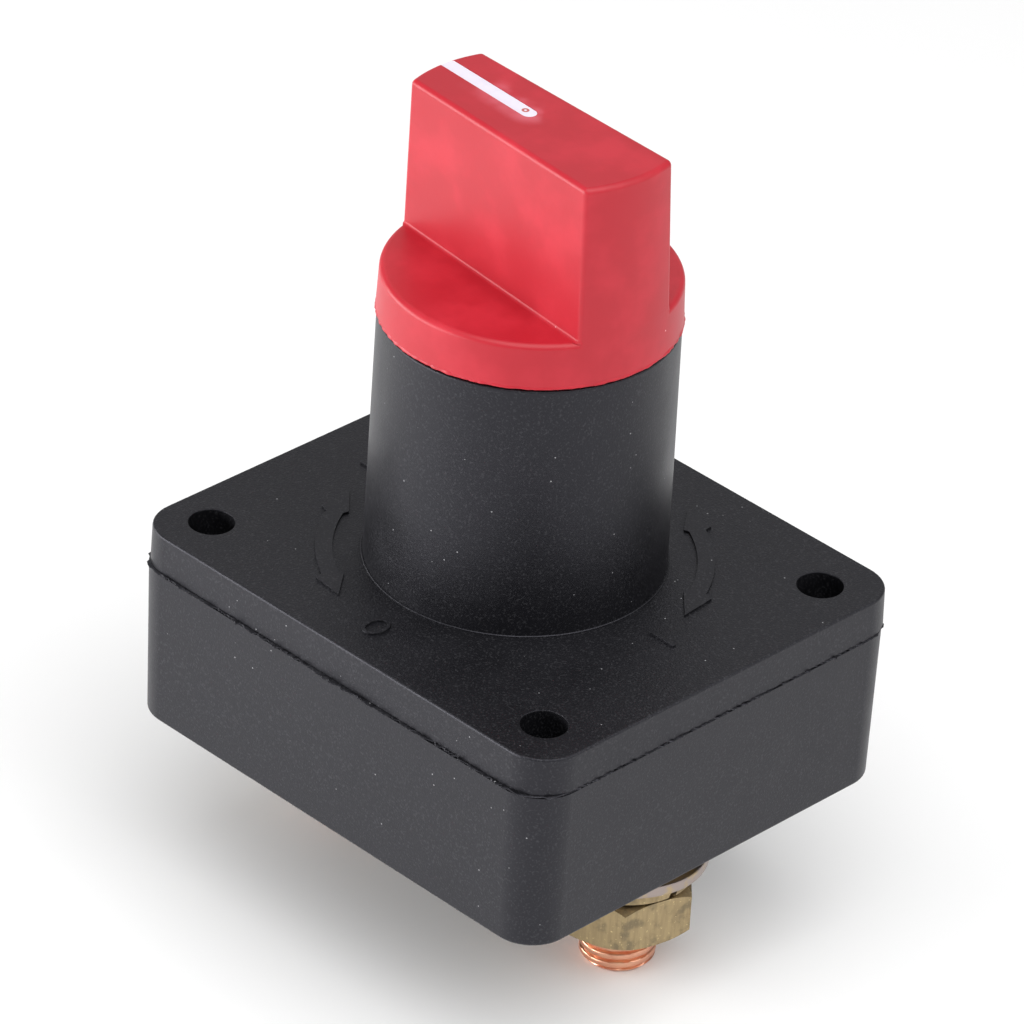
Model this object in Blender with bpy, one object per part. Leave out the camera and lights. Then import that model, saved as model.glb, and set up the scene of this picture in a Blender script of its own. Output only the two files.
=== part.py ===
"""A two-pole battery switch: a square moulded case with a tall round neck, turned by a wedge-shaped knob.

Blender 4.5 script, in metres, +Z up. The origin is the centre of the base's underside, the knob turns
about +Z, and the two terminal studs stand on the X axis. The model is at rest in the on position, with
the contact bridge down on the stud heads.
"""

from math import asin, cos, pi, radians, sin, sqrt

import bmesh
import bpy
from mathutils import Matrix, Vector

MM = 0.001
GAP = 0.3 * MM  # between pieces that touch on the real switch

# Case
BODY_LENGTH = 73.0 * MM  # along X, at the seam
BODY_WIDTH = 63.35 * MM  # along Y, at the seam
BODY_HEIGHT = 27.2 * MM
CORNER_RADIUS = 5.7 * MM
WALL = 2.6 * MM
SEAM_Z = 22.0 * MM
SEAM_GAP = 0.2 * MM
BASE_DRAFT = 0.31 * MM  # how far the walls lean in, from the seam to the underside
LID_DRAFT = 0.13 * MM
EDGE_ROUND = 0.5 * MM
ARC_MIDDLE = 1 - cos(pi / 4)  # a rounded edge's middle point lies this share of its radius inside both faces
FLOOR = 3.2 * MM
LID_PLATE = 3.0 * MM
HOLE_X = 29.6 * MM
HOLE_Y = 24.1 * MM
HOLE_RADIUS = 2.92 * MM
BOSS_RADIUS = 5.6 * MM

# Neck
NECK_TOP = 61.95 * MM
NECK_FOOT_RADIUS = 18.9 * MM
NECK_TOP_RADIUS = 18.6 * MM
NECK_BORE_RADIUS = 16.0 * MM
NECK_WEB = 4.05 * MM
BEARING_OUTER_RADIUS = 10.5 * MM
BEARING_BORE_RADIUS = 7.3 * MM
BEARING_BOTTOM = 44.0 * MM

# Knob
KNOB_BOTTOM = 62.3 * MM
DISC_TOP = 68.1 * MM
KNOB_TOP = 89.0 * MM
DISC_RADIUS = 18.75 * MM
DISC_ROUND = 0.8 * MM
GRIP_INSET = 0.05 * MM  # of the grip's foot inside the disc's side
GRIP_TOP_RADIUS = 17.85 * MM
GRIP_HALF_WIDTH = 6.55 * MM  # at the axis, on the disc
GRIP_TOP_HALF_WIDTH = 6.05 * MM
GRIP_TAPER = 0.0375  # half-width gained per unit length, so the grip is a wedge in plan
GRIP_REST_ANGLE = radians(-4.3)
POINTER_LENGTH = 16.9 * MM
POINTER_WIDTH = 2.0 * MM
POINTER_DEPTH = 0.5 * MM
POINTER_CLEARANCE = 0.1 * MM
POINTER_INSET = 0.6 * MM  # keeps its square end inside the grip's rounded edge
SOCKET_SIZE = 9.7 * MM
SOCKET_TOP = 74.4 * MM
POCKET_INNER = 7.5 * MM
POCKET_OUTER = 14.5 * MM
POCKET_WIDTH = 6.8 * MM
POCKET_TOP = 84.0 * MM

# Spindle and what it carries
SPINDLE_BOTTOM = 20.0 * MM
SPINDLE_RADIUS = 5.9 * MM
SPINDLE_BORE_RADIUS = 3.9 * MM
SPINDLE_BORE_TOP = 50.0 * MM
JOURNAL_RADIUS = 7.0 * MM
JOURNAL_TOP = 62.1 * MM
SHOULDER_RADIUS = 8.9 * MM
SHOULDER_BOTTOM = 42.0 * MM
DRIVE_SIZE = 9.0 * MM
DRIVE_TOP = 74.0 * MM
O_RING_Z = 55.2 * MM
O_RING_RADIUS = 6.5 * MM
O_RING_WIRE = 0.7 * MM
GROOVE_RADIUS = 5.7 * MM
GROOVE_HALF_HEIGHT = 1.2 * MM
SCREW_RADIUS = 1.95 * MM
SCREW_TOP = 82.0 * MM
SCREW_HEAD_RADIUS = 3.5 * MM
SCREW_HEAD_HEIGHT = 3.4 * MM
SCREW_HOLE_RADIUS = 2.2 * MM
SCREW_SOCKET_RADIUS = 1.5 * MM
SCREW_SOCKET_DEPTH = 2.0 * MM
THRUST_INNER_RADIUS = 8.5 * MM
THRUST_OUTER_RADIUS = 14.0 * MM
THRUST_BOTTOM = 62.15 * MM
THRUST_HEIGHT = 1.0 * MM
PIN_Z = 30.0 * MM
PIN_RADIUS = 1.5 * MM
PIN_HALF_LENGTH = 8.7 * MM
PIN_CLEARANCE = 0.1 * MM

# Contact carrier, bridge and spring
LIFT = 4.0 * MM  # of the carrier, over a quarter turn of the knob
CARRIER_BORE_RADIUS = 6.3 * MM
SLEEVE_RADIUS = 9.0 * MM
SLEEVE_TOP = 36.0 * MM
FLANGE_RADIUS = 13.5 * MM
FLANGE_BOTTOM = 14.0 * MM
FLANGE_TOP = 16.6 * MM
HUB_RADIUS = 11.0 * MM
HUB_BOTTOM = 8.4 * MM
CARRIER_FLOOR = 13.0 * MM
BRIDGE_LENGTH = 56.0 * MM
BRIDGE_WIDTH = 15.4 * MM
BRIDGE_BOTTOM = 7.8 * MM
BRIDGE_THICKNESS = 2.5 * MM
RIVET_RADIUS = 2.0 * MM
RIVET_HEAD_RADIUS = 3.5 * MM
RIVET_HEAD_HEIGHT = 1.4 * MM
RIVET_CLEARANCE = 0.2 * MM
SLOT_OVERRUN = 1.0 * MM  # of the cam slots' cutter past the sleeve's two faces
SPRING_RADIUS = 12.0 * MM
SPRING_WIRE = 0.8 * MM
SPRING_TURNS = 6

# Terminals
STUD_X = 22.0 * MM
STUD_RADIUS = 4.9 * MM
STUD_BOTTOM = -21.88 * MM
STUD_HEAD_SIZE = 15.4 * MM
STUD_HEAD_BOTTOM = 3.5 * MM
STUD_HEAD_HEIGHT = 4.0 * MM
STUD_HOLE_RADIUS = 5.2 * MM
STUD_CHAMFER = 0.9 * MM
WELL_RADIUS = 12.0 * MM  # recess round each terminal in the underside
WELL_DEPTH = 0.5 * MM
RAIL_INNER_Y = 8.1 * MM
RAIL_THICKNESS = 1.8 * MM
RAIL_START_X = 15.0 * MM
RAIL_END_X = 30.0 * MM
RAIL_TOP = 17.0 * MM
NUT_FLATS = 17.0 * MM
NUT_HEIGHT = 6.6 * MM
NUT_CHAMFER_DROP = 0.54 * MM  # of the chamfer, from the nut's face to its corners
NUT_FACE_INSET = 0.2 * MM  # of the chamfer's inner edge, inside the flats
NUT_ANGLE = radians(-43.0)
NUT_BORE_RADIUS = 5.1 * MM
INNER_NUT_TOP = 0.1 * MM
FLAT_WASHER_RADIUS = 10.75 * MM
FLAT_WASHER_THICKNESS = 1.5 * MM
FLAT_WASHER_BOTTOM = -6.15 * MM
LOCK_WASHER_RADIUS = 9.05 * MM
LOCK_WASHER_THICKNESS = 1.9 * MM
LOCK_WASHER_BOTTOM = -8.35 * MM
LOCK_WASHER_SPLIT = 1.2 * MM
LOCK_WASHER_BORE_RADIUS = 5.2 * MM
OUTER_NUT_BOTTOM = -15.3 * MM

FINE = 64  # sides of the large round parts
ROUND = 32  # sides of the smaller ones
SMALL = 16  # sides of screws, pins and rivets


def clear_scene():
    for item in list(bpy.data.objects):
        bpy.data.objects.remove(item, do_unlink=True)


def material(name, colour, roughness, metallic=0.0):
    made = bpy.data.materials.get(name)
    if made:
        return made
    made = bpy.data.materials.new(name)
    made.use_nodes = True
    made.diffuse_color = (*colour, 1.0)
    shader = made.node_tree.nodes["Principled BSDF"]
    shader.inputs["Base Color"].default_value = (*colour, 1.0)
    shader.inputs["Roughness"].default_value = roughness
    shader.inputs["Metallic"].default_value = metallic
    return made


def black_plastic():
    return material("black_plastic", (0.045, 0.045, 0.05), 0.5)


def red_plastic():
    return material("red_plastic", (0.7, 0.02, 0.04), 0.4)


def white_paint():
    return material("white_paint", (0.85, 0.82, 0.88), 0.5)


def natural_nylon():
    return material("natural_nylon", (0.75, 0.72, 0.64), 0.5)


def seal_rubber():
    return material("seal_rubber", (0.02, 0.02, 0.02), 0.7)


def steel():
    return material("steel", (0.6, 0.6, 0.62), 0.3, 1.0)


def brass():
    return material("brass", (0.75, 0.53, 0.22), 0.3, 1.0)


def copper():
    return material("copper", (0.8, 0.38, 0.24), 0.3, 1.0)


def add_object(name, bm, finish, parent=None):
    """A mesh object from a bmesh whose points are in world space; parents here never turn or scale."""
    bmesh.ops.recalc_face_normals(bm, faces=bm.faces)
    mesh = bpy.data.meshes.new(name)
    bm.to_mesh(mesh)
    bm.free()
    mesh.shade_smooth()
    mesh.set_sharp_from_angle(angle=radians(35))
    mesh.materials.append(finish)
    item = bpy.data.objects.new(name, mesh)
    bpy.context.scene.collection.objects.link(item)
    item.parent = parent
    return item


def tool_object(name, bm):
    """A hidden mesh that a Boolean uses."""
    item = add_object(name, bm, black_plastic())
    item.hide_render = True
    item.display_type = "WIRE"
    return item


def boolean(item, other, operation):
    step = item.modifiers.new(other.name, "BOOLEAN")
    step.operation = operation
    step.solver = "EXACT"
    step.object = other


def cut(item, name, bm):
    boolean(item, tool_object(name, bm), "DIFFERENCE")


def join(item, name, bm):
    boolean(item, tool_object(name, bm), "UNION")


def empty(name):
    item = bpy.data.objects.new(name, None)
    bpy.context.scene.collection.objects.link(item)
    return item


def turned(profile, centre=(0.0, 0.0), sides=ROUND):
    """A solid turned about a vertical axis from a closed profile of (radius, z) points."""
    bm = bmesh.new()
    points = [bm.verts.new((radius, 0.0, z)) for radius, z in profile]
    edges = [bm.edges.new((a, b)) for a, b in zip(points, points[1:] + points[:1])]
    bmesh.ops.spin(
        bm,
        geom=points + edges,
        cent=(0.0, 0.0, 0.0),
        axis=(0.0, 0.0, 1.0),
        angle=2 * pi,
        steps=sides,
        use_merge=True,
    )
    bmesh.ops.remove_doubles(bm, verts=bm.verts, dist=1e-6)
    on_axis = [edge for edge in bm.edges if not edge.link_faces]
    bmesh.ops.delete(bm, geom=on_axis, context="EDGES")
    bmesh.ops.translate(bm, verts=bm.verts, vec=(centre[0], centre[1], 0.0))
    return bm


def cylinder(radius, bottom, top, centre=(0.0, 0.0), sides=ROUND):
    return turned([(0.0, bottom), (radius, bottom), (radius, top), (0.0, top)], centre, sides)


def ring(inner, outer, bottom, top, centre=(0.0, 0.0), sides=ROUND):
    return turned([(inner, bottom), (outer, bottom), (outer, top), (inner, top)], centre, sides)


def box(low, high):
    bm = bmesh.new()
    size = [b - a for a, b in zip(low, high)]
    middle = [(a + b) / 2 for a, b in zip(low, high)]
    bmesh.ops.create_cube(bm, size=1.0)
    bmesh.ops.scale(bm, vec=size, verts=bm.verts)
    bmesh.ops.translate(bm, vec=middle, verts=bm.verts)
    return bm


def lofted(rings):
    """A closed solid through rings of points, all of one count, listed from bottom to top."""
    bm = bmesh.new()
    rows = [[bm.verts.new(point) for point in points] for points in rings]
    for below, above in zip(rows, rows[1:]):
        for i in range(len(below)):
            j = (i + 1) % len(below)
            bm.faces.new((below[i], below[j], above[j], above[i]))
    bm.faces.new(reversed(rows[0]))
    bm.faces.new(rows[-1])
    return bm


def together(solids):
    """Several separate solids as one bmesh."""
    whole = bmesh.new()
    for solid in solids:
        mesh = bpy.data.meshes.new("solid")
        solid.to_mesh(mesh)
        solid.free()
        whole.from_mesh(mesh)
        bpy.data.meshes.remove(mesh)
    return whole


def rounded_rectangle(length, width, radius, z, steps=6):
    points = []
    for quarter in range(4):
        start = quarter * pi / 2
        side_x = 1 if quarter in (0, 3) else -1
        side_y = 1 if quarter in (0, 1) else -1
        middle_x = side_x * (length / 2 - radius)
        middle_y = side_y * (width / 2 - radius)
        for step in range(steps + 1):
            angle = start + step / steps * pi / 2
            points.append((middle_x + radius * cos(angle), middle_y + radius * sin(angle), z))
    return points


def body_outline(inset, z):
    return rounded_rectangle(BODY_LENGTH - 2 * inset, BODY_WIDTH - 2 * inset, CORNER_RADIUS - inset, z)


def hole_centres():
    return [(x, y) for x in (-HOLE_X, HOLE_X) for y in (-HOLE_Y, HOLE_Y)]


def add_base():
    """The lower box: floor, walls, screw bosses, and the rails that keep the heads and bridge in line."""
    top = SEAM_Z - SEAM_GAP / 2
    shell = lofted(
        [
            body_outline(BASE_DRAFT + EDGE_ROUND, 0.0),
            body_outline(BASE_DRAFT + ARC_MIDDLE * EDGE_ROUND, ARC_MIDDLE * EDGE_ROUND),
            body_outline(BASE_DRAFT, EDGE_ROUND),
            body_outline(0.0, top),
        ]
    )
    base = add_object("base", shell, black_plastic())
    cut(base, "base_cavity", lofted([body_outline(WALL, FLOOR), body_outline(WALL, SEAM_Z + WALL)]))
    inside = [cylinder(BOSS_RADIUS, FLOOR / 2, top, centre) for centre in hole_centres()]
    for side_x in (-1, 1):
        for side_y in (-1, 1):
            xs = sorted((side_x * RAIL_START_X, side_x * RAIL_END_X))
            ys = sorted((side_y * RAIL_INNER_Y, side_y * (RAIL_INNER_Y + RAIL_THICKNESS)))
            inside.append(box((xs[0], ys[0], FLOOR / 2), (xs[1], ys[1], RAIL_TOP)))
    join(base, "bosses_and_rails", together(inside))
    holes = [cylinder(HOLE_RADIUS, -WALL, SEAM_Z + WALL, centre) for centre in hole_centres()]
    stud_hole = [
        (0.0, -WALL),
        (WELL_RADIUS, -WALL),
        (WELL_RADIUS, WELL_DEPTH),
        (STUD_HOLE_RADIUS, WELL_DEPTH),
        (STUD_HOLE_RADIUS, FLOOR + WALL),
        (0.0, FLOOR + WALL),
    ]
    holes += [turned(stud_hole, (side * STUD_X, 0.0)) for side in (-1, 1)]
    cut(base, "base_holes", together(holes))


def add_upper_housing():
    """The lid and the neck in one moulding, with the bearing tube hanging from the neck's web."""
    bottom = SEAM_Z + SEAM_GAP / 2
    lid = lofted(
        [
            body_outline(0.0, bottom),
            body_outline(LID_DRAFT, BODY_HEIGHT - EDGE_ROUND),
            body_outline(LID_DRAFT + ARC_MIDDLE * EDGE_ROUND, BODY_HEIGHT - ARC_MIDDLE * EDGE_ROUND),
            body_outline(LID_DRAFT + EDGE_ROUND, BODY_HEIGHT),
        ]
    )
    housing = add_object("upper_housing", lid, black_plastic())
    plate_bottom = BODY_HEIGHT - LID_PLATE
    cut(housing, "lid_cavity", lofted([body_outline(WALL, 0.0), body_outline(WALL, plate_bottom)]))
    boss_top = BODY_HEIGHT - LID_PLATE / 2
    bosses = [cylinder(BOSS_RADIUS, bottom, boss_top, centre) for centre in hole_centres()]
    join(housing, "lid_bosses", together(bosses))
    neck = turned(
        [
            (0.0, plate_bottom + LID_PLATE / 2),
            (NECK_FOOT_RADIUS, plate_bottom + LID_PLATE / 2),
            (NECK_FOOT_RADIUS, BODY_HEIGHT),
            (NECK_TOP_RADIUS, NECK_TOP - EDGE_ROUND),
            (NECK_TOP_RADIUS - EDGE_ROUND, NECK_TOP),
            (0.0, NECK_TOP),
        ],
        sides=FINE,
    )
    join(housing, "neck", neck)
    bore_top = NECK_TOP - NECK_WEB
    bore = turned(
        [
            (0.0, 0.0),
            (NECK_BORE_RADIUS, 0.0),
            (NECK_BORE_RADIUS, bore_top),
            (BEARING_OUTER_RADIUS, bore_top),
            (BEARING_OUTER_RADIUS, BEARING_BOTTOM),
            (BEARING_BORE_RADIUS, BEARING_BOTTOM),
            (BEARING_BORE_RADIUS, NECK_TOP + WALL),
            (0.0, NECK_TOP + WALL),
        ],
        sides=FINE,
    )
    holes = [cylinder(HOLE_RADIUS, 0.0, BODY_HEIGHT + WALL, centre) for centre in hole_centres()]
    cut(housing, "neck_bore_and_holes", together([bore] + holes))


def grip_outline(radius, half_width, z):
    """Plan of the grip: two straight sides that open towards +X, closed by arcs of the knob's circle."""
    def side_meets_circle(direction):
        a = 1 + GRIP_TAPER**2
        b = half_width * GRIP_TAPER
        x = (-b + direction * sqrt(b**2 - a * (half_width**2 - radius**2))) / a
        return x, half_width + GRIP_TAPER * x

    front = side_meets_circle(1)
    back = side_meets_circle(-1)
    front_angle = asin(front[1] / radius)
    back_angle = asin(back[1] / radius)
    steps = 8
    angles = [front_angle * (2 * i / steps - 1) for i in range(steps + 1)]
    angles += [pi + back_angle * (2 * i / steps - 1) for i in range(steps + 1)]
    return [(radius * cos(angle), radius * sin(angle), z) for angle in angles]


def pointer_outline(width, length, z, overrun=0.0):
    """The pointer's plan: square at the grip's -X end, round at its inner end."""
    start = -GRIP_TOP_RADIUS - overrun
    middle = -GRIP_TOP_RADIUS + length - width / 2
    steps = 8
    points = [(start, width / 2, z), (start, -width / 2, z)]
    for i in range(steps + 1):
        angle = pi * (i / steps - 0.5)
        points.append((middle + width / 2 * cos(angle), width / 2 * sin(angle), z))
    return points


def turn_to_rest(bm):
    bmesh.ops.rotate(bm, verts=bm.verts, matrix=Matrix.Rotation(GRIP_REST_ANGLE, 3, "Z"))
    return bm


def add_knob(parent):
    disc = turned(
        [
            (0.0, KNOB_BOTTOM),
            (DISC_RADIUS, KNOB_BOTTOM),
            (DISC_RADIUS, DISC_TOP - DISC_ROUND),
            (DISC_RADIUS - ARC_MIDDLE * DISC_ROUND, DISC_TOP - ARC_MIDDLE * DISC_ROUND),
            (DISC_RADIUS - DISC_ROUND, DISC_TOP),
            (0.0, DISC_TOP),
        ],
        sides=FINE,
    )
    knob = add_object("knob", turn_to_rest(disc), red_plastic(), parent)
    grip_bottom = (KNOB_BOTTOM + DISC_TOP) / 2
    slope = (DISC_RADIUS - GRIP_TOP_RADIUS) / (KNOB_TOP - DISC_TOP)
    foot_radius = DISC_RADIUS - GRIP_INSET
    grip = lofted(
        [
            grip_outline(foot_radius, GRIP_HALF_WIDTH, grip_bottom),
            grip_outline(foot_radius - slope * DISC_ROUND, GRIP_HALF_WIDTH, DISC_TOP),
            grip_outline(GRIP_TOP_RADIUS, GRIP_TOP_HALF_WIDTH, KNOB_TOP - EDGE_ROUND),
            grip_outline(GRIP_TOP_RADIUS - EDGE_ROUND, GRIP_TOP_HALF_WIDTH - EDGE_ROUND, KNOB_TOP),
        ]
    )
    join(knob, "grip", turn_to_rest(grip))
    below = KNOB_BOTTOM - WALL
    half = SOCKET_SIZE / 2
    cut(knob, "drive_socket", turn_to_rest(box((-half, -half, below), (half, half, SOCKET_TOP))))
    washer_room = cylinder(
        THRUST_OUTER_RADIUS + GAP, below, THRUST_BOTTOM + THRUST_HEIGHT + GAP, sides=FINE
    )
    cut(knob, "washer_recess", washer_room)
    cut(knob, "screw_hole", cylinder(SCREW_HOLE_RADIUS, below, SCREW_TOP + WALL / 2, sides=SMALL))
    for side in (-1, 1):
        xs = sorted((side * POCKET_INNER, side * POCKET_OUTER))
        pocket = box((xs[0], -POCKET_WIDTH / 2, below), (xs[1], POCKET_WIDTH / 2, POCKET_TOP))
        cut(knob, "core_pocket", turn_to_rest(pocket))
    groove_width = POINTER_WIDTH + 2 * POINTER_CLEARANCE
    groove_length = POINTER_LENGTH + POINTER_CLEARANCE
    groove_rings = [
        pointer_outline(groove_width, groove_length, z, WALL)
        for z in (KNOB_TOP - POINTER_DEPTH, KNOB_TOP + WALL)
    ]
    cut(knob, "pointer_groove", turn_to_rest(lofted(groove_rings)))


def add_knob_pointer(parent):
    bottom = KNOB_TOP - POINTER_DEPTH + POINTER_CLEARANCE
    outlines = []
    for z in (bottom, KNOB_TOP):
        outline = pointer_outline(POINTER_WIDTH, POINTER_LENGTH, z, -POINTER_INSET)
        outlines.append(outline)
    add_object("knob_pointer", turn_to_rest(lofted(outlines)), white_paint(), parent)


def add_spindle(parent):
    profile = [
        (SPINDLE_BORE_RADIUS, SPINDLE_BOTTOM),
        (SPINDLE_RADIUS, SPINDLE_BOTTOM),
        (SPINDLE_RADIUS, SHOULDER_BOTTOM),
        (SHOULDER_RADIUS, SHOULDER_BOTTOM),
        (SHOULDER_RADIUS, BEARING_BOTTOM - GAP),
        (JOURNAL_RADIUS, BEARING_BOTTOM - GAP),
        (JOURNAL_RADIUS, O_RING_Z - GROOVE_HALF_HEIGHT),
        (GROOVE_RADIUS, O_RING_Z - GROOVE_HALF_HEIGHT),
        (GROOVE_RADIUS, O_RING_Z + GROOVE_HALF_HEIGHT),
        (JOURNAL_RADIUS, O_RING_Z + GROOVE_HALF_HEIGHT),
        (JOURNAL_RADIUS, JOURNAL_TOP),
        (SCREW_HOLE_RADIUS, JOURNAL_TOP),
        (SCREW_HOLE_RADIUS, SPINDLE_BORE_TOP),
        (SPINDLE_BORE_RADIUS, SPINDLE_BORE_TOP),
    ]
    spindle = add_object("spindle", turned(profile), steel(), parent)
    half = DRIVE_SIZE / 2
    drive = box((-half, -half, JOURNAL_TOP - WALL), (half, half, DRIVE_TOP))
    join(spindle, "square_drive", turn_to_rest(drive))
    clear = cylinder(SCREW_HOLE_RADIUS, SPINDLE_BORE_TOP - GAP, DRIVE_TOP + WALL)
    cut(spindle, "screw_clearance", clear)
    cut(spindle, "pin_hole", cross_cylinder(PIN_RADIUS + PIN_CLEARANCE, HUB_RADIUS))


def cross_cylinder(radius, half_length):
    """A cylinder along X through the cam pin's place."""
    bm = cylinder(radius, -half_length, half_length, sides=SMALL)
    bmesh.ops.rotate(bm, verts=bm.verts, matrix=Matrix.Rotation(pi / 2, 3, "Y"))
    bmesh.ops.translate(bm, verts=bm.verts, vec=(0.0, 0.0, PIN_Z))
    return bm


def add_spindle_o_ring(parent):
    steps = 8
    profile = []
    for i in range(steps):
        angle = 2 * pi * i / steps
        profile.append((O_RING_RADIUS + O_RING_WIRE * cos(angle), O_RING_Z + O_RING_WIRE * sin(angle)))
    add_object("spindle_o_ring", turned(profile), seal_rubber(), parent)


def add_knob_screw(parent):
    head_top = SPINDLE_BORE_TOP - GAP
    head_bottom = head_top - SCREW_HEAD_HEIGHT
    profile = [
        (0.0, head_bottom + SCREW_SOCKET_DEPTH),
        (SCREW_SOCKET_RADIUS, head_bottom + SCREW_SOCKET_DEPTH),
        (SCREW_SOCKET_RADIUS, head_bottom),
        (SCREW_HEAD_RADIUS, head_bottom),
        (SCREW_HEAD_RADIUS, head_top),
        (SCREW_RADIUS, head_top),
        (SCREW_RADIUS, SCREW_TOP),
        (0.0, SCREW_TOP),
    ]
    add_object("knob_screw", turned(profile, sides=SMALL), steel(), parent)


def helical_slot():
    """A band that follows the cam pin as the carrier climbs: it falls by LIFT over a quarter turn."""
    inner = CARRIER_BORE_RADIUS - SLOT_OVERRUN
    outer = SLEEVE_RADIUS + SLOT_OVERRUN
    clearance = PIN_RADIUS + GAP
    slope = LIFT / (pi / 2)
    half_height = clearance * sqrt(1 + (slope / CARRIER_BORE_RADIUS) ** 2)
    overrun = asin(clearance / CARRIER_BORE_RADIUS)
    steps = 12
    rings = []
    for i in range(steps + 1):
        angle = -overrun + i / steps * (pi / 2 + 2 * overrun)
        middle = PIN_Z - slope * min(max(angle, 0.0), pi / 2)
        corners = [(inner, -1), (outer, -1), (outer, 1), (inner, 1)]
        rings.append(
            [(r * cos(angle), r * sin(angle), middle + side * half_height) for r, side in corners]
        )
    return lofted(rings)


def rivet_hole():
    return cylinder(RIVET_RADIUS + RIVET_CLEARANCE, 0.0, SPINDLE_BOTTOM, sides=SMALL)


def add_contact_carrier():
    profile = [
        (0.0, HUB_BOTTOM),
        (HUB_RADIUS, HUB_BOTTOM),
        (HUB_RADIUS, FLANGE_BOTTOM),
        (FLANGE_RADIUS, FLANGE_BOTTOM),
        (FLANGE_RADIUS, FLANGE_TOP),
        (SLEEVE_RADIUS, FLANGE_TOP),
        (SLEEVE_RADIUS, SLEEVE_TOP),
        (CARRIER_BORE_RADIUS, SLEEVE_TOP),
        (CARRIER_BORE_RADIUS, CARRIER_FLOOR),
        (0.0, CARRIER_FLOOR),
    ]
    carrier = add_object("contact_carrier", turned(profile), natural_nylon())
    channel_half = BRIDGE_WIDTH / 2 + GAP
    channel_top = BRIDGE_BOTTOM + BRIDGE_THICKNESS + GAP
    channel = box(
        (-FLANGE_RADIUS, -channel_half, HUB_BOTTOM - WALL), (FLANGE_RADIUS, channel_half, channel_top)
    )
    cut(carrier, "bridge_channel", channel)
    cut(carrier, "carrier_rivet_hole", rivet_hole())
    for half_turn in (0.0, pi):
        slot = helical_slot()
        bmesh.ops.rotate(slot, verts=slot.verts, matrix=Matrix.Rotation(half_turn, 3, "Z"))
        cut(carrier, "cam_slot", slot)


def add_contact_bridge():
    half_length = BRIDGE_LENGTH / 2
    half_width = BRIDGE_WIDTH / 2
    top = BRIDGE_BOTTOM + BRIDGE_THICKNESS
    bar = box((-half_length, -half_width, BRIDGE_BOTTOM), (half_length, half_width, top))
    bridge = add_object("contact_bridge", bar, copper())
    cut(bridge, "bridge_rivet_hole", rivet_hole())


def add_bridge_rivet():
    lower_top = BRIDGE_BOTTOM - GAP
    upper_bottom = CARRIER_FLOOR + GAP
    profile = [
        (0.0, lower_top - RIVET_HEAD_HEIGHT),
        (RIVET_HEAD_RADIUS, lower_top - RIVET_HEAD_HEIGHT),
        (RIVET_HEAD_RADIUS, lower_top),
        (RIVET_RADIUS, lower_top),
        (RIVET_RADIUS, upper_bottom),
        (RIVET_HEAD_RADIUS, upper_bottom),
        (RIVET_HEAD_RADIUS, upper_bottom + RIVET_HEAD_HEIGHT),
        (0.0, upper_bottom + RIVET_HEAD_HEIGHT),
    ]
    add_object("bridge_rivet", turned(profile, sides=SMALL), copper())


def add_contact_spring():
    """An open coil from the carrier's flange to the neck's web, as a swept ring of wire."""
    low = FLANGE_TOP + GAP + SPRING_WIRE
    high = NECK_TOP - NECK_WEB - GAP - SPRING_WIRE
    steps_per_turn = 18
    wire_sides = 6
    total = SPRING_TURNS * steps_per_turn
    rings = []
    for step in range(total + 1):
        angle = 2 * pi * step / steps_per_turn
        middle = low + (high - low) * step / total
        outward = Vector((cos(angle), sin(angle), 0.0))
        row = []
        for side in range(wire_sides):
            around = 2 * pi * side / wire_sides
            reach = SPRING_RADIUS + SPRING_WIRE * cos(around)
            row.append(outward * reach + Vector((0.0, 0.0, middle + SPRING_WIRE * sin(around))))
        rings.append(row)
    add_object("contact_spring", lofted(rings), steel())


def add_terminal(side, word):
    """A stud with its square head inside the base, and the nuts and washers on its threaded end."""
    centre = (side * STUD_X, 0.0)
    shank = turned(
        [
            (0.0, STUD_BOTTOM),
            (STUD_RADIUS - STUD_CHAMFER, STUD_BOTTOM),
            (STUD_RADIUS, STUD_BOTTOM + STUD_CHAMFER),
            (STUD_RADIUS, STUD_HEAD_BOTTOM + STUD_HEAD_HEIGHT / 2),
            (0.0, STUD_HEAD_BOTTOM + STUD_HEAD_HEIGHT / 2),
        ],
        centre,
    )
    stud = add_object(f"{word}_terminal_stud", shank, copper())
    half = STUD_HEAD_SIZE / 2
    head = box(
        (centre[0] - half, -half, STUD_HEAD_BOTTOM),
        (centre[0] + half, half, STUD_HEAD_BOTTOM + STUD_HEAD_HEIGHT),
    )
    join(stud, f"{word}_stud_head", head)
    inner_nut_bottom = FLAT_WASHER_BOTTOM + FLAT_WASHER_THICKNESS + GAP
    add_nut(f"{word}_inner_nut", centre, inner_nut_bottom, INNER_NUT_TOP)
    add_nut(f"{word}_outer_nut", centre, OUTER_NUT_BOTTOM, OUTER_NUT_BOTTOM + NUT_HEIGHT)
    washer = ring(
        NUT_BORE_RADIUS,
        FLAT_WASHER_RADIUS,
        FLAT_WASHER_BOTTOM,
        FLAT_WASHER_BOTTOM + FLAT_WASHER_THICKNESS,
        centre,
    )
    add_object(f"{word}_flat_washer", washer, brass())
    add_lock_washer(f"{word}_lock_washer", centre)


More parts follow.
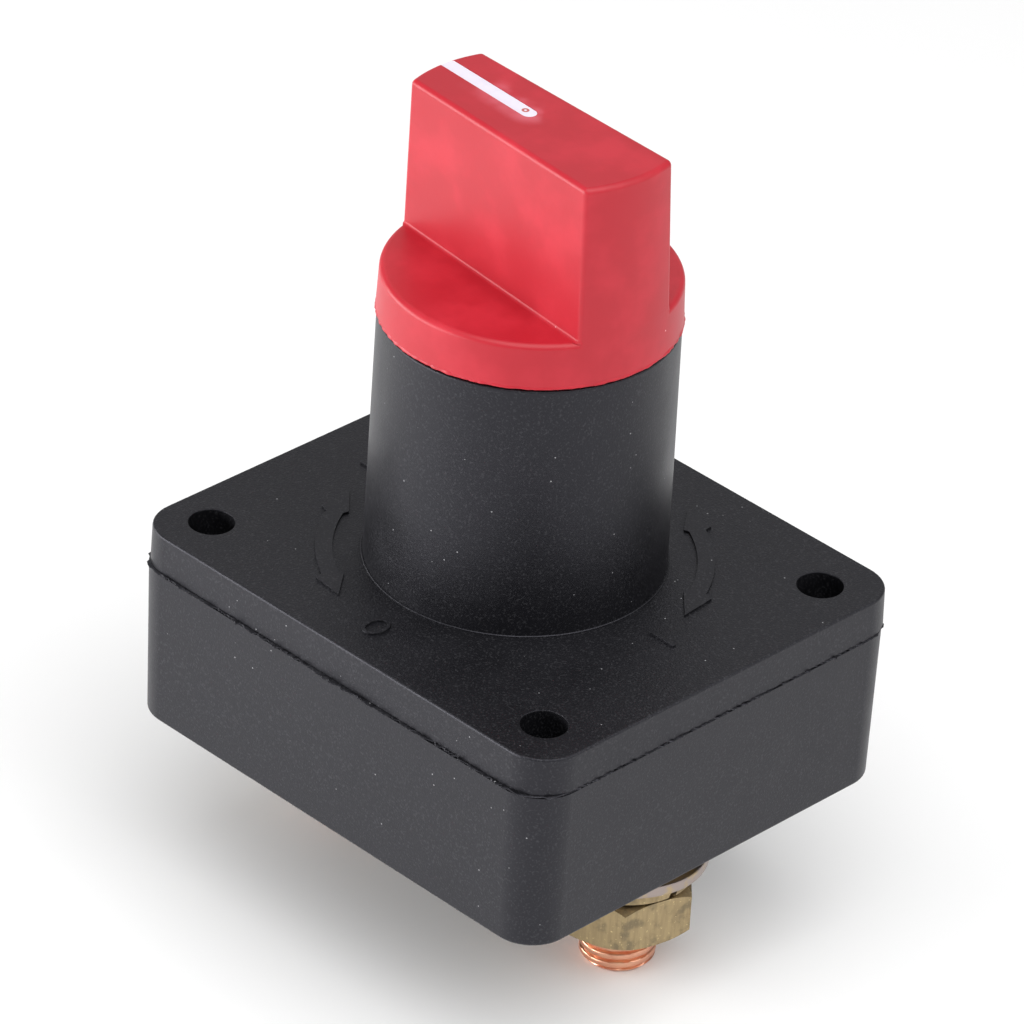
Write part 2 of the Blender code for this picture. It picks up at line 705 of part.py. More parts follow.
def add_nut(name, centre, bottom, top):
    """A hexagon nut, chamfered at both ends by the turned blank that it is cut from."""
    corner = NUT_FLATS / 2 / cos(pi / 6)
    flat = NUT_FLATS / 2
    face = flat - NUT_FACE_INSET
    blank = turned(
        [
            (0.0, bottom),
            (face, bottom),
            (corner, bottom + NUT_CHAMFER_DROP),
            (corner, top - NUT_CHAMFER_DROP),
            (face, top),
            (0.0, top),
        ],
        centre,
    )
    outline = [
        (
            centre[0] + corner * cos(NUT_ANGLE + i * pi / 3),
            centre[1] + corner * sin(NUT_ANGLE + i * pi / 3),
        )
        for i in range(6)
    ]
    hexagon = lofted([[(x, y, z) for x, y in outline] for z in (bottom - WALL, top + WALL)])
    nut = add_object(name, blank, brass())
    boolean(nut, tool_object(f"{name}_hexagon", hexagon), "INTERSECT")
    cut(nut, f"{name}_bore", cylinder(NUT_BORE_RADIUS, bottom - WALL, top + WALL, centre))


def add_lock_washer(name, centre):
    """A spring washer: a ring cut through at one place."""
    bottom = LOCK_WASHER_BOTTOM
    top = bottom + LOCK_WASHER_THICKNESS
    half_gap = LOCK_WASHER_SPLIT / 2
    inner_angle = asin(half_gap / LOCK_WASHER_BORE_RADIUS)
    outer_angle = asin(half_gap / LOCK_WASHER_RADIUS)
    steps = 28
    rings = []
    for step in range(steps + 1):
        share = step / steps
        inner = inner_angle + share * (2 * pi - 2 * inner_angle)
        outer = outer_angle + share * (2 * pi - 2 * outer_angle)
        corners = (
            (LOCK_WASHER_BORE_RADIUS, inner, bottom),
            (LOCK_WASHER_RADIUS, outer, bottom),
            (LOCK_WASHER_RADIUS, outer, top),
            (LOCK_WASHER_BORE_RADIUS, inner, top),
        )
        rings.append([(centre[0] + r * cos(a), centre[1] + r * sin(a), z) for r, a, z in corners])
    add_object(name, lofted(rings), steel())


def build():
    clear_scene()
    rotor = empty("knob_axis")
    add_base()
    add_upper_housing()
    add_knob(rotor)
    add_knob_pointer(rotor)
    add_spindle(rotor)
    add_spindle_o_ring(rotor)
    add_knob_screw(rotor)
    add_object("cam_pin", cross_cylinder(PIN_RADIUS, PIN_HALF_LENGTH), steel(), rotor)
    washer_top = THRUST_BOTTOM + THRUST_HEIGHT
    thrust = ring(THRUST_INNER_RADIUS, THRUST_OUTER_RADIUS, THRUST_BOTTOM, washer_top)
    add_object("thrust_washer", thrust, natural_nylon())
    add_contact_carrier()
    add_contact_bridge()
    add_bridge_rivet()
    add_contact_spring()
    for side, word in ((1, "right"), (-1, "left")):
        add_terminal(side, word)


build()
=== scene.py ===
"""The looks of the battery switch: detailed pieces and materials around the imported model, on a pale floor."""

from math import asin, atan2, cos, pi, radians, sin, sqrt

import bmesh
import bpy
from mathutils import Matrix, Vector, noise


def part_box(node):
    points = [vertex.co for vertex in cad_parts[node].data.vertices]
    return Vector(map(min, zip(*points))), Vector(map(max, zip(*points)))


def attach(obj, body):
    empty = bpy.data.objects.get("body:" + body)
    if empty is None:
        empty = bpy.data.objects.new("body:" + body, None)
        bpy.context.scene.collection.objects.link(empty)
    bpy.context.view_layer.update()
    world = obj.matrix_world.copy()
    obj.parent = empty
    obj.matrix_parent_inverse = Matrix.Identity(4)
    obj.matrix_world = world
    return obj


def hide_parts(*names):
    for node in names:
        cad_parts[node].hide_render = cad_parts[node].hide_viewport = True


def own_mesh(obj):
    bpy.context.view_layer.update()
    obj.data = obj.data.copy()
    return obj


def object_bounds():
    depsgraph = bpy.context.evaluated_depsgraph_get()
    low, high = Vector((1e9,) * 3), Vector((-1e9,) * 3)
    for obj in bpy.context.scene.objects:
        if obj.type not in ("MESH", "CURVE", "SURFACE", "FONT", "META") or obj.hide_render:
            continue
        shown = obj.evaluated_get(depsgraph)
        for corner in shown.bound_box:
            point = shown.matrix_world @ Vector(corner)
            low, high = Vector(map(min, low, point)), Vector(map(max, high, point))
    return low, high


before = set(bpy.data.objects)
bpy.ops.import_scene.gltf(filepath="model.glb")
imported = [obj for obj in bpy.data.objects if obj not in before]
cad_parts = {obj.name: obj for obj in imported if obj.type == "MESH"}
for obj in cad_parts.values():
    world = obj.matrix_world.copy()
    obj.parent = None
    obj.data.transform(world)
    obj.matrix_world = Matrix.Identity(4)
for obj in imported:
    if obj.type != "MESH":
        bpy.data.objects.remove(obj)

CAD_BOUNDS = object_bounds()

MM = 0.001
BASE_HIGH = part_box("base")[1]
LID_LOW, LID_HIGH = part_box("upper_housing")
KNOB_LOW, KNOB_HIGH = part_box("knob")
SPRING_LOW, SPRING_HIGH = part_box("contact_spring")

# Case
LENGTH = LID_HIGH.x - LID_LOW.x
WIDTH = LID_HIGH.y - LID_LOW.y
SEAM_Z = (BASE_HIGH.z + LID_LOW.z) / 2
LID_TOP = 27.2 * MM
NECK_TOP = LID_HIGH.z
CORNER_RADIUS = 5.7 * MM
WALL = 2.6 * MM
OVERRUN = 2.6 * MM  # how far a cutting solid runs past what it cuts
FLOOR_THICKNESS = 3.2 * MM
LID_PLATE = 3.0 * MM
BASE_DRAFT = 0.31 * MM
LID_DRAFT = 0.13 * MM
EDGE_ROUND = 0.5 * MM
LID_EDGE_ROUND = 0.32 * MM
SEAM_EDGE_ROUND = 0.06 * MM
HOLE_X = 29.6 * MM
HOLE_Y = 24.1 * MM
HOLE_RADIUS = 2.92 * MM
HOLE_CHAMFER = 0.2 * MM
BOSS_RADIUS = 5.6 * MM
BASE_SHIFT = Vector((0.43 * MM, -0.14 * MM, 0.0))  # how far the two mouldings stand off centre
LID_SHIFT = Vector((0.32 * MM, 0.22 * MM, 0.0))

# Flash: the ragged web of plastic along the case's seam, and the lip round the knob's lower edge
FLASH_STEP = 0.16 * MM
FLASH_CORNER_STEPS = 14
FLASH_MEAN_REACH = 0.02 * MM  # past the walls
FLASH_RAGGED_REACH = 0.42 * MM
FLASH_SLOW_REACH = 0.16 * MM
FLASH_REACH_LIMITS = (-0.35 * MM, 0.5 * MM)
FLASH_DRIFT = 0.12 * MM  # up and down from the seam
FLASH_HALF_THICKNESS = 0.09 * MM
FLASH_THICKNESS_CHANGE = 0.07 * MM
FLASH_ROOT = 0.9 * MM  # how deep it goes into the joint
FLASH_ROOT_HALF = 0.05 * MM
BURRS = [  # where it is widest: the middle, how far the burr spreads, and how far it stands out
    (Vector((0.5 * MM, -WIDTH / 2, 0.0)), 5.0 * MM, 0.4 * MM),
    (Vector((-LENGTH / 2, -WIDTH / 2, 0.0)), 3.5 * MM, 0.6 * MM),
]
LIP_STEPS = 420
LIP_MEAN_REACH = 0.08 * MM
LIP_RAGGED_REACH = 0.16 * MM
LIP_SLOW_REACH = 0.05 * MM
LIP_DROP = 0.1 * MM
LIP_ROOT = 0.5 * MM

# Neck
NECK_FOOT_RADIUS = 19.05 * MM
NECK_TOP_RADIUS = 18.72 * MM
NECK_LIP_RADIUS = 19.3 * MM
NECK_LIP_HEIGHT = 0.22 * MM
NECK_EDGE_ROUND = 0.35 * MM
NECK_BORE_RADIUS = 16.0 * MM
NECK_WEB = 4.05 * MM
BEARING_OUTER_RADIUS = 10.5 * MM
BEARING_BORE_RADIUS = 7.3 * MM
BEARING_BOTTOM = 44.0 * MM

# Marks on the lid
MARK_HEIGHT = 0.3 * MM
MARK_ROOT = 0.15 * MM  # how deep a mark's foot goes into the plate
ARROW_INNER = 22.75 * MM
ARROW_OUTER = 24.95 * MM
ARROW_HEAD_INNER = 22.2 * MM
ARROW_HEAD_OUTER = 25.9 * MM
ARROW_TIP_RADIUS = 24.6 * MM
ARROW_BAND = (radians(27.0), radians(62.0))
ARROW_TIPS = (radians(13.6), radians(73.5))
ARROW_BARBS = (radians(25.4), radians(63.2))
SYMBOL_HEIGHT = 4.1 * MM
SYMBOL_STROKE = 0.5 * MM
ON_RADIUS = 25.8 * MM
OFF_RADIUS = 25.0 * MM
OFF_ASIDE = 1.2 * MM
OFF_HALF_WIDTH = 1.5 * MM
MARK_ROUND = 0.05 * MM

# Knob
DISC_TOP = 68.35 * MM
DISC_RADIUS = 18.85 * MM
DISC_ROUND = 0.8 * MM
DISC_FOOT_INSET = 0.1 * MM
DISC_FOOT_HEIGHT = 0.15 * MM
KNOB_TOP_RADIUS = 17.85 * MM
GRIP_HALF_WIDTH = 6.55 * MM
GRIP_TOP_HALF_WIDTH = 6.05 * MM
GRIP_TAPER = 0.0375
GRIP_TOP_TAPER = 0.012  # of the -Y flank alone, which widens towards its -X end
GRIP_ANGLE = radians(-4.3)
GRIP_PROUD = 0.015 * MM
GRIP_LEAN = 0.35 * MM  # of the grip's top towards its -Y side
GRIP_FILLET = 0.45 * MM
GRIP_ROOT_DEPTH = 1.2 * MM  # of its foot inside the disc
GRIP_ROOT_INSET = 0.06 * MM
KNOB_EDGE = 0.75 * MM
KNOB_EDGE_SWEEP = radians(86)  # a little short of a quarter turn, so that the top stays a clear face
POINTER_LENGTH = 16.9 * MM
POINTER_WIDTH = 2.0 * MM
POINTER_DEPTH = 0.5 * MM
POINTER_SINK = 0.05 * MM
POINTER_CLEARANCE = 0.03 * MM
POINTER_DOT_X = -2.75 * MM
POINTER_DOT_RADIUS = 0.33 * MM
SOCKET_SIZE = 9.7 * MM
SOCKET_TOP = 74.4 * MM
RECESS_RADIUS = 14.3 * MM
RECESS_TOP = 63.45 * MM
SCREW_HOLE_RADIUS = 2.2 * MM
SCREW_HOLE_TOP = 83.3 * MM
POCKET_INNER = 7.5 * MM
POCKET_OUTER = 14.5 * MM
POCKET_WIDTH = 6.8 * MM
POCKET_TOP = 84.0 * MM

# Terminals
STUD_X = 22.0 * MM
STUD_RADIUS = 4.9 * MM
STUD_ROOT_RADIUS = 4.45 * MM
THREAD_PITCH = 1.25 * MM
THREAD_CREST = 0.05 * MM  # how far the crests are rounded up and down
THREAD_CREST_PHASE = 0.3
THREAD_GROOVE_PHASE = 0.8
THREAD_GROOVE_HALF_WIDTH = 0.22  # of a pitch
THREAD_ROWS_PER_PITCH = 12
STUD_CHAMFER = 0.9 * MM
STUD_CHAMFER_SLOPE = 0.95
STUD_TIP_FLAT = 0.94  # the flat end's share of the tip's radius
STUD_TIP_ROUND = 0.06 * MM
STUD_HEAD_SIZE = 15.4 * MM
STUD_HEAD_BOTTOM = 3.5 * MM
STUD_HEAD_HEIGHT = 4.0 * MM
STUD_HEAD_EDGE = 0.4 * MM
STUD_HOLE_RADIUS = 5.2 * MM
WELL_RADIUS = 12.0 * MM
WELL_DEPTH = 0.5 * MM
RAIL_INNER_Y = 8.1 * MM
RAIL_THICKNESS = 1.8 * MM
RAIL_START_X = 15.0 * MM
RAIL_END_X = 30.0 * MM
RAIL_TOP = 17.0 * MM
NUT_FLATS = 17.0 * MM
NUT_BORE_RADIUS = 5.1 * MM
NUT_ANGLE = radians(-43.0)
NUT_CHAMFER_DROP = 0.85 * MM
NUT_CHAMFER_CURVE = 1.4
NUT_FACE_INSET = 0.15 * MM
NUT_BORE_CHAMFER = 0.5 * MM
NUT_CORNER_ROUND = 0.4 * MM
FLAT_WASHER_RADIUS = 10.75 * MM
FLAT_WASHER_ROUND = 0.25 * MM
FLAT_WASHER_BEND = 0.16 * MM
LOCK_WASHER_RADIUS = 9.05 * MM
LOCK_WASHER_BORE = 5.2 * MM
LOCK_WASHER_SPLIT = 1.2 * MM
LOCK_WASHER_RISE = 0.12 * MM
LOCK_WASHER_CHAMFER = 0.18 * MM

SPRING_RADIUS = 12.0 * MM
SPRING_WIRE = 0.8 * MM
SPRING_TURNS = 6

FINE = 160  # sides of the large round parts
ROUND = 96
SMALL = 40
SMOOTH_ANGLE = radians(28)
FLAT_ANGLE = radians(0.4)  # faces that differ by less count as one


# Mesh tools


def mesh_object(name, bm, finish=None):
    bmesh.ops.recalc_face_normals(bm, faces=bm.faces)
    mesh = bpy.data.meshes.new(name)
    bm.to_mesh(mesh)
    bm.free()
    if finish:
        mesh.materials.append(finish)
    item = bpy.data.objects.new(name, mesh)
    bpy.context.scene.collection.objects.link(item)
    return item


def carve(item, bm, operation="DIFFERENCE"):
    """Applies one Boolean to the item's mesh and uses up bm."""
    tool = mesh_object("tool", bm)
    step = item.modifiers.new("carve", "BOOLEAN")
    step.operation = operation
    step.solver = "EXACT"
    step.object = tool
    graph = bpy.context.evaluated_depsgraph_get()
    made = bpy.data.meshes.new_from_object(item.evaluated_get(graph))
    item.modifiers.clear()
    old = item.data
    item.data = made
    bpy.data.meshes.remove(old)
    bpy.data.objects.remove(tool)
    made.name = item.name


def copy_of(item, name):
    made = item.copy()
    made.data = item.data.copy()
    made.name = name
    bpy.context.scene.collection.objects.link(made)
    return made


def bmesh_of(item):
    bm = bmesh.new()
    bm.from_mesh(item.data)
    return bm


def put_back(bm, item):
    bm.to_mesh(item.data)
    bm.free()
    item.data.update()


def finish_surface(item, finish, angle=SMOOTH_ANGLE):
    """Smooth shading that stays flat on large faces next to rounded edges."""
    mesh = item.data
    mesh.materials.clear()
    mesh.materials.append(finish)
    mesh.shade_smooth()
    mesh.set_sharp_from_angle(angle=angle)
    weighted = item.modifiers.new("weighted", "WEIGHTED_NORMAL")
    weighted.keep_sharp = True
    weighted.weight = 90


def close_slivers(item):
    """Fills the tiny triangles that a Boolean can leave open between nearly touching faces."""
    bm = bmesh_of(item)
    open_edges = [edge for edge in bm.edges if len(edge.link_faces) == 1]
    bmesh.ops.holes_fill(bm, edges=open_edges, sides=4)
    put_back(bm, item)


def shade_ragged(item, angle):
    """Plain smooth shading, for thin uneven pieces without large faces."""
    item.data.shade_smooth()
    item.data.set_sharp_from_angle(angle=angle)


def bevel_sharp(item, width, segments=3, angle=radians(30), chosen=None):
    """Rounds the sharp edges, or those of them that chosen() picks."""
    bm = bmesh_of(item)
    bmesh.ops.remove_doubles(bm, verts=bm.verts, dist=1e-6)
    bmesh.ops.dissolve_limit(bm, angle_limit=FLAT_ANGLE, verts=bm.verts, edges=bm.edges, delimit={"SEAM"})
    edges = [
        edge
        for edge in bm.edges
        if len(edge.link_faces) == 2
        and edge.calc_face_angle(0.0) > angle
        and (chosen is None or chosen(edge))
    ]
    bmesh.ops.bevel(
        bm,
        geom=edges,
        offset=width,
        offset_type="OFFSET",
        segments=segments,
        profile=0.5,
        affect="EDGES",
        clamp_overlap=False,
        miter_outer="ARC",
    )
    put_back(bm, item)


def turned(profile, centre=(0.0, 0.0), sides=ROUND):
    """A solid turned about a vertical axis from a closed profile of (radius, z) points."""
    bm = bmesh.new()
    columns = []
    for radius, z in profile:
        if radius < 1e-9:
            columns.append([bm.verts.new((centre[0], centre[1], z))] * sides)
            continue
        ring = []
        for i in range(sides):
            angle = 2 * pi * i / sides
            ring.append(bm.verts.new((centre[0] + radius * cos(angle), centre[1] + radius * sin(angle), z)))
        columns.append(ring)
    for near, far in zip(columns, columns[1:] + columns[:1]):
        for i in range(sides):
            j = (i + 1) % sides
            corners = []
            for vert in (near[i], near[j], far[j], far[i]):
                if vert not in corners:
                    corners.append(vert)
            if len(corners) > 2:
                bm.faces.new(corners)
    return bm


def cylinder(radius, bottom, top, centre=(0.0, 0.0), sides=ROUND):
    return turned([(0.0, bottom), (radius, bottom), (radius, top), (0.0, top)], centre, sides)


def box(low, high):
    bm = bmesh.new()
    size = [b - a for a, b in zip(low, high)]
    middle = [(a + b) / 2 for a, b in zip(low, high)]
    bmesh.ops.create_cube(bm, size=1.0)
    bmesh.ops.scale(bm, vec=size, verts=bm.verts)
    bmesh.ops.translate(bm, vec=middle, verts=bm.verts)
    return bm


def lofted(rings, closed_loop=False):
    """A closed solid through rings of points of one count; closed_loop joins the last ring to the first."""
    bm = bmesh.new()
    rows = [[bm.verts.new(point) for point in points] for points in rings]
    followers = rows[1:] + rows[:1] if closed_loop else rows[1:]
    for below, above in zip(rows, followers):
        for i in range(len(below)):
            j = (i + 1) % len(below)
            bm.faces.new((below[i], below[j], above[j], above[i]))
    if not closed_loop:
        bm.faces.new(reversed(rows[0]))
        bm.faces.new(rows[-1])
    return bm


def prism(outline, bottom, top):
    """A solid with this plan outline, between two heights."""
    return lofted([[(x, y, z) for x, y in outline] for z in (bottom, top)])


def together(solids):
    """One mesh of several solids, which it uses up."""
    whole = bmesh.new()
    for solid in solids:
        mesh = bpy.data.meshes.new("solid")
        solid.to_mesh(mesh)
        solid.free()
        whole.from_mesh(mesh)
        bpy.data.meshes.remove(mesh)
    return whole


def moved(bm, offset):
    bmesh.ops.translate(bm, verts=bm.verts, vec=offset)
    return bm


def turned_about_z(bm, angle):
    bmesh.ops.rotate(bm, verts=bm.verts, matrix=Matrix.Rotation(angle, 3, "Z"))
    return bm


def corner_middle(quarter, length, width, radius):
    """The middle of a rounded rectangle's corner, counted anticlockwise from the +X +Y one."""
    side_x = 1 if quarter in (0, 3) else -1
    side_y = 1 if quarter in (0, 1) else -1
    return side_x * (length / 2 - radius), side_y * (width / 2 - radius)


def rounded_rectangle(length, width, radius, z, steps=12):
    points = []
    for quarter in range(4):
        middle_x, middle_y = corner_middle(quarter, length, width, radius)
        for step in range(steps + 1):
            angle = (quarter + step / steps) * pi / 2
            points.append(Vector((middle_x + radius * cos(angle), middle_y + radius * sin(angle), z)))
    return points


def case_outline(inset, z):
    return rounded_rectangle(LENGTH - 2 * inset, WIDTH - 2 * inset, CORNER_RADIUS - inset, z)


def rounded_edge(inset, edge_z, radius, side, steps=5):
    """(inset, z) pairs round an edge, upwards: side +1 is for a top edge, -1 for a bottom edge."""
    pairs = []
    for i in range(steps + 1):
        angle = i / steps * pi / 2
        pairs.append((inset + radius * (1 - cos(angle)), edge_z - side * radius * (1 - sin(angle))))
    return pairs if side > 0 else pairs[::-1]


def hole_centres():
    return [(x, y) for x in (-HOLE_X, HOLE_X) for y in (-HOLE_Y, HOLE_Y)]


# Materials


def node(tree, kind, **values):
    """A shader node: capitalised names set inputs, with _ for a space, and the others set properties."""
    made = tree.nodes.new(kind)
    for key, value in values.items():
        if key[0].isupper():
            made.inputs[key.replace("_", " ")].default_value = value
        else:
            setattr(made, key, value)
    return made


class Finish:
    """A Principled material and the few node patterns that the finishes share."""

    def __init__(self, name, colour, roughness, metallic=0.0, specular=0.5):
        self.material = bpy.data.materials.new(name)
        self.material.use_nodes = True
        self.material.diffuse_color = (*colour, 1.0)
        self.tree = self.material.node_tree
        self.shader = self.tree.nodes["Principled BSDF"]
        self.shader.inputs["Metallic"].default_value = metallic
        self.shader.inputs["Specular IOR Level"].default_value = specular
        self.place = node(self.tree, "ShaderNodeTexCoord").outputs["Object"]
        self.colour = (*colour, 1.0)  # a plain value until something is painted over it
        self.roughness = roughness
        self.normal = None

    def link(self, source, target):
        self.tree.links.new(source, target)

    def give(self, value, socket):
        """Sets a plain value on the socket, or links another node's output to it."""
        if isinstance(value, (int, float, tuple)):
            socket.default_value = value
        else:
            self.link(value, socket)

    def stretched(self, scale):
        mapping = node(self.tree, "ShaderNodeMapping", Scale=scale)
        self.link(self.place, mapping.inputs["Vector"])
        return mapping.outputs["Vector"]

    def noise(self, size, detail=3.0, roughness=0.55, place=None):
        made = node(self.tree, "ShaderNodeTexNoise", Scale=1 / size, Detail=detail, Roughness=roughness)
        self.link(place or self.place, made.inputs["Vector"])
        return made.outputs["Fac"]

    def ramp(self, source, low, high, start=0.0, end=1.0):
        """A smooth step that runs from start to end while the source goes from low to high."""
        span = {"From_Min": low, "From_Max": high, "To_Min": start, "To_Max": end}
        made = node(self.tree, "ShaderNodeMapRange", interpolation_type="SMOOTHSTEP", **span)
        self.link(source, made.inputs["Value"])
        return made.outputs["Result"]

    def maths(self, operation, first, second):
        made = node(self.tree, "ShaderNodeMath", operation=operation)
        self.give(first, made.inputs[0])
        self.give(second, made.inputs[1])
        return made.outputs[0]

    def tint(self, mask, colour):
        """Paints colour over what is there, where the mask says."""
        made = node(self.tree, "ShaderNodeMix", data_type="RGBA")
        self.link(mask, made.inputs["Factor"])
        self.give(self.colour, made.inputs[6])
        made.inputs[7].default_value = (*colour, 1.0)
        self.colour = made.outputs[2]

    def roughen(self, mask, amount):
        self.roughness = self.maths("ADD", self.roughness, self.maths("MULTIPLY", mask, amount))

    def bump(self, height, depth, strength=1.0):
        made = node(self.tree, "ShaderNodeBump", Strength=strength, Distance=depth)
        self.link(height, made.inputs["Height"])
        if self.normal:
            self.link(self.normal, made.inputs["Normal"])
        self.normal = made.outputs["Normal"]

    def specks(self, spacing, size, share, colour):
        """Dust: small dots in a share of the cells of a scattered pattern."""
        cells = node(self.tree, "ShaderNodeTexVoronoi", Scale=1 / spacing)
        self.link(self.place, cells.inputs["Vector"])
        near = self.ramp(cells.outputs["Distance"], size / spacing * 0.6, size / spacing, 1.0, 0.0)
        split = node(self.tree, "ShaderNodeSeparateColor")
        self.link(cells.outputs["Color"], split.inputs[0])
        chosen = self.maths("LESS_THAN", split.outputs[0], share)
        self.tint(self.maths("MULTIPLY", near, chosen), colour)

    def done(self):
        self.give(self.colour, self.shader.inputs["Base Color"])
        self.give(self.roughness, self.shader.inputs["Roughness"])
        if self.normal:
            self.link(self.normal, self.shader.inputs["Normal"])
        return self.material


def black_plastic(name="black_plastic", grain=1.0):
    """Moulded black plastic: spark-eroded grain on the faces that look up, smoother upright walls."""
    made = Finish(name, (0.003, 0.003, 0.0038), 0.42, specular=0.46)
    made.shader.inputs["Specular Tint"].default_value = (0.88, 0.87, 1.0, 1.0)
    facing = node(made.tree, "ShaderNodeSeparateXYZ")
    made.link(node(made.tree, "ShaderNodeTexCoord").outputs["Normal"], facing.inputs[0])
    upward = made.ramp(facing.outputs["Z"], 0.3, 0.9)
    mottle = made.noise(5 * MM, 4.0)
    made.tint(made.ramp(mottle, 0.35, 0.75, 0.0, 0.5), (0.006, 0.006, 0.0072))
    fine = made.noise(0.22 * MM, 2.0)
    made.roughen(made.maths("SUBTRACT", mottle, 0.5), 0.16)
    made.roughen(upward, 0.06)
    made.bump(made.noise(9 * MM, 1.0), 0.05 * MM, 0.5)
    coarseness = made.maths("ADD", made.maths("MULTIPLY", upward, 0.75), 0.25)
    made.bump(made.maths("MULTIPLY", fine, coarseness), 0.085 * MM * grain, 0.9)
    made.tint(made.ramp(made.noise(0.3 * MM, 2.0), 0.52, 0.72, 0.0, 0.6), (0.036, 0.036, 0.039))
    made.specks(1.7 * MM, 0.12 * MM, 0.35, (0.3, 0.3, 0.31))
    return made.done()


def red_plastic():
    """Slightly cloudy red plastic, paler round the pointer, where a painted sheen stands in for the light off a
    shallow sink in the top.
    """
    made = Finish("red_plastic", (0.455, 0.0105, 0.023), 0.42, specular=0.45)
    made.shader.inputs["Subsurface Weight"].default_value = 0.08
    made.shader.inputs["Subsurface Radius"].default_value = (1.0, 0.15, 0.12)
    made.shader.inputs["Subsurface Scale"].default_value = 1.2 * MM
    cloud = made.noise(7 * MM, 3.0)
    made.tint(made.ramp(cloud, 0.4, 0.75, 0.0, 0.35), (0.7, 0.035, 0.06))
    painted_sheen_mask = pointer_sink_sheen(made)
    # painted sheen: a pale red tint on the top beside the pointer, in place of the light off a shallow sink
    made.tint(painted_sheen_mask, (0.72, 0.15, 0.2))
    made.roughen(made.maths("SUBTRACT", cloud, 0.5), 0.14)
    made.roughen(painted_sheen_mask, -0.08)
    made.bump(made.noise(6 * MM, 1.0), 0.05 * MM, 0.5)
    made.bump(made.noise(0.25 * MM, 2.0), 0.012 * MM, 0.7)
    made.specks(3.0 * MM, 0.12 * MM, 0.16, (0.9, 0.6, 0.62))
    return made.done()


def pointer_sink_sheen(made):
    """Painted sheen: a pale patch on the knob's top beside the painted pointer, standing in for the light off a
    shallow sink there.
    """
    pointing = (cos(GRIP_ANGLE), sin(GRIP_ANGLE), 0.0)
    aside = (-sin(GRIP_ANGLE), cos(GRIP_ANGLE), 0.0)
    along = node(made.tree, "ShaderNodeVectorMath", operation="DOT_PRODUCT")
    across = node(made.tree, "ShaderNodeVectorMath", operation="DOT_PRODUCT")
    height = node(made.tree, "ShaderNodeSeparateXYZ")
    made.link(made.place, height.inputs[0])
    for product, axis in ((along, pointing), (across, aside)):
        made.link(made.place, product.inputs[0])
        product.inputs[1].default_value = axis
    offset = made.maths("ABSOLUTE", made.maths("ADD", across.outputs["Value"], GRIP_LEAN), 0.0)
    inner_end = -KNOB_TOP_RADIUS + POINTER_LENGTH
    past_end = made.maths("MAXIMUM", made.maths("SUBTRACT", along.outputs["Value"], inner_end - MM), 0.0)
    squares = made.maths("ADD", made.maths("POWER", offset, 2.0), made.maths("POWER", past_end, 2.0))
    band = made.ramp(made.maths("SQRT", squares, 0.0), 1.2 * MM, 3.4 * MM, 1.0, 0.0)
    patchy = made.ramp(made.noise(5 * MM, 2.0), 0.38, 0.62, 0.0, 0.55)
    on_top = made.ramp(height.outputs["Z"], KNOB_HIGH.z - 0.3 * MM, KNOB_HIGH.z - 0.05 * MM)
    near_end = made.ramp(along.outputs["Value"], -0.75 * KNOB_TOP_RADIUS, -0.4 * KNOB_TOP_RADIUS)
    for share in (patchy, on_top, near_end):
        band = made.maths("MULTIPLY", band, share)
    return band


def white_paint():
    """Slightly cloudy white paint with one small red ring near the pointer's inner end."""
    made = Finish("white_paint", (0.8, 0.75, 0.85), 0.5)
    cloud = made.noise(1.5 * MM, 3.0)
    made.tint(made.ramp(cloud, 0.4, 0.7, 0.0, 0.4), (0.74, 0.66, 0.78))
    spot = node(made.tree, "ShaderNodeVectorMath", operation="DISTANCE")
    made.link(made.place, spot.inputs[0])
    spot.inputs[1].default_value = (POINTER_DOT_X, 0.0, KNOB_HIGH.z - POINTER_SINK)
    off_ring = made.maths("SUBTRACT", spot.outputs["Value"], POINTER_DOT_RADIUS)
    ring = made.maths("ABSOLUTE", off_ring, 0.0)
    made.tint(made.ramp(ring, 0.08 * MM, 0.22 * MM, 1.0, 0.0), (0.5, 0.1, 0.09))
    made.bump(made.noise(0.4 * MM, 2.0), 0.02 * MM, 0.5)
    return made.done()


def brass():
    """Drawn brass, streaked along the bar that the nuts were cut from, and dulled in patches."""
    made = Finish("brass", (0.44, 0.34, 0.19), 0.36, metallic=1.0)
    streaks = made.noise(0.55 * MM, 3.0, place=made.stretched((1.0, 1.0, 0.12)))
    patches = made.noise(2.4 * MM, 4.0)
    made.tint(made.ramp(streaks, 0.35, 0.65, 0.0, 0.7), (0.34, 0.26, 0.15))
    made.tint(made.ramp(patches, 0.46, 0.66, 0.0, 0.7), (0.2, 0.165, 0.11))
    made.tint(made.ramp(made.noise(0.5 * MM, 4.0), 0.62, 0.72, 0.0, 0.8), (0.82, 0.66, 0.36))
    made.roughen(patches, 0.25)
    made.bump(streaks, 0.05 * MM, 0.6)
    made.bump(made.noise(0.35 * MM, 4.0), 0.04 * MM, 0.6)
    return made.done()


def plated_brass():
    """Greyish plating, worn through to brass in patches."""
    made = Finish("plated_brass", (0.38, 0.32, 0.295), 0.3, metallic=1.0)
    patches = made.noise(1.8 * MM, 4.0)
    made.tint(made.ramp(patches, 0.5, 0.66, 0.0, 0.8), (0.5, 0.38, 0.21))
    made.roughen(patches, 0.2)
    made.bump(made.noise(0.4 * MM, 3.0), 0.03 * MM, 0.5)
    return made.done()


def copper():
    made = Finish("copper", (0.82, 0.42, 0.28), 0.24, metallic=1.0)
    patches = made.noise(1.6 * MM, 4.0)
    made.tint(made.ramp(patches, 0.5, 0.72, 0.0, 0.7), (0.7, 0.3, 0.2))
    made.tint(made.ramp(made.noise(3 * MM, 2.0), 0.55, 0.75, 0.0, 0.4), (0.92, 0.6, 0.38))
    made.roughen(patches, 0.16)
    made.bump(made.noise(0.5 * MM, 3.0), 0.03 * MM, 0.5)
    return made.done()


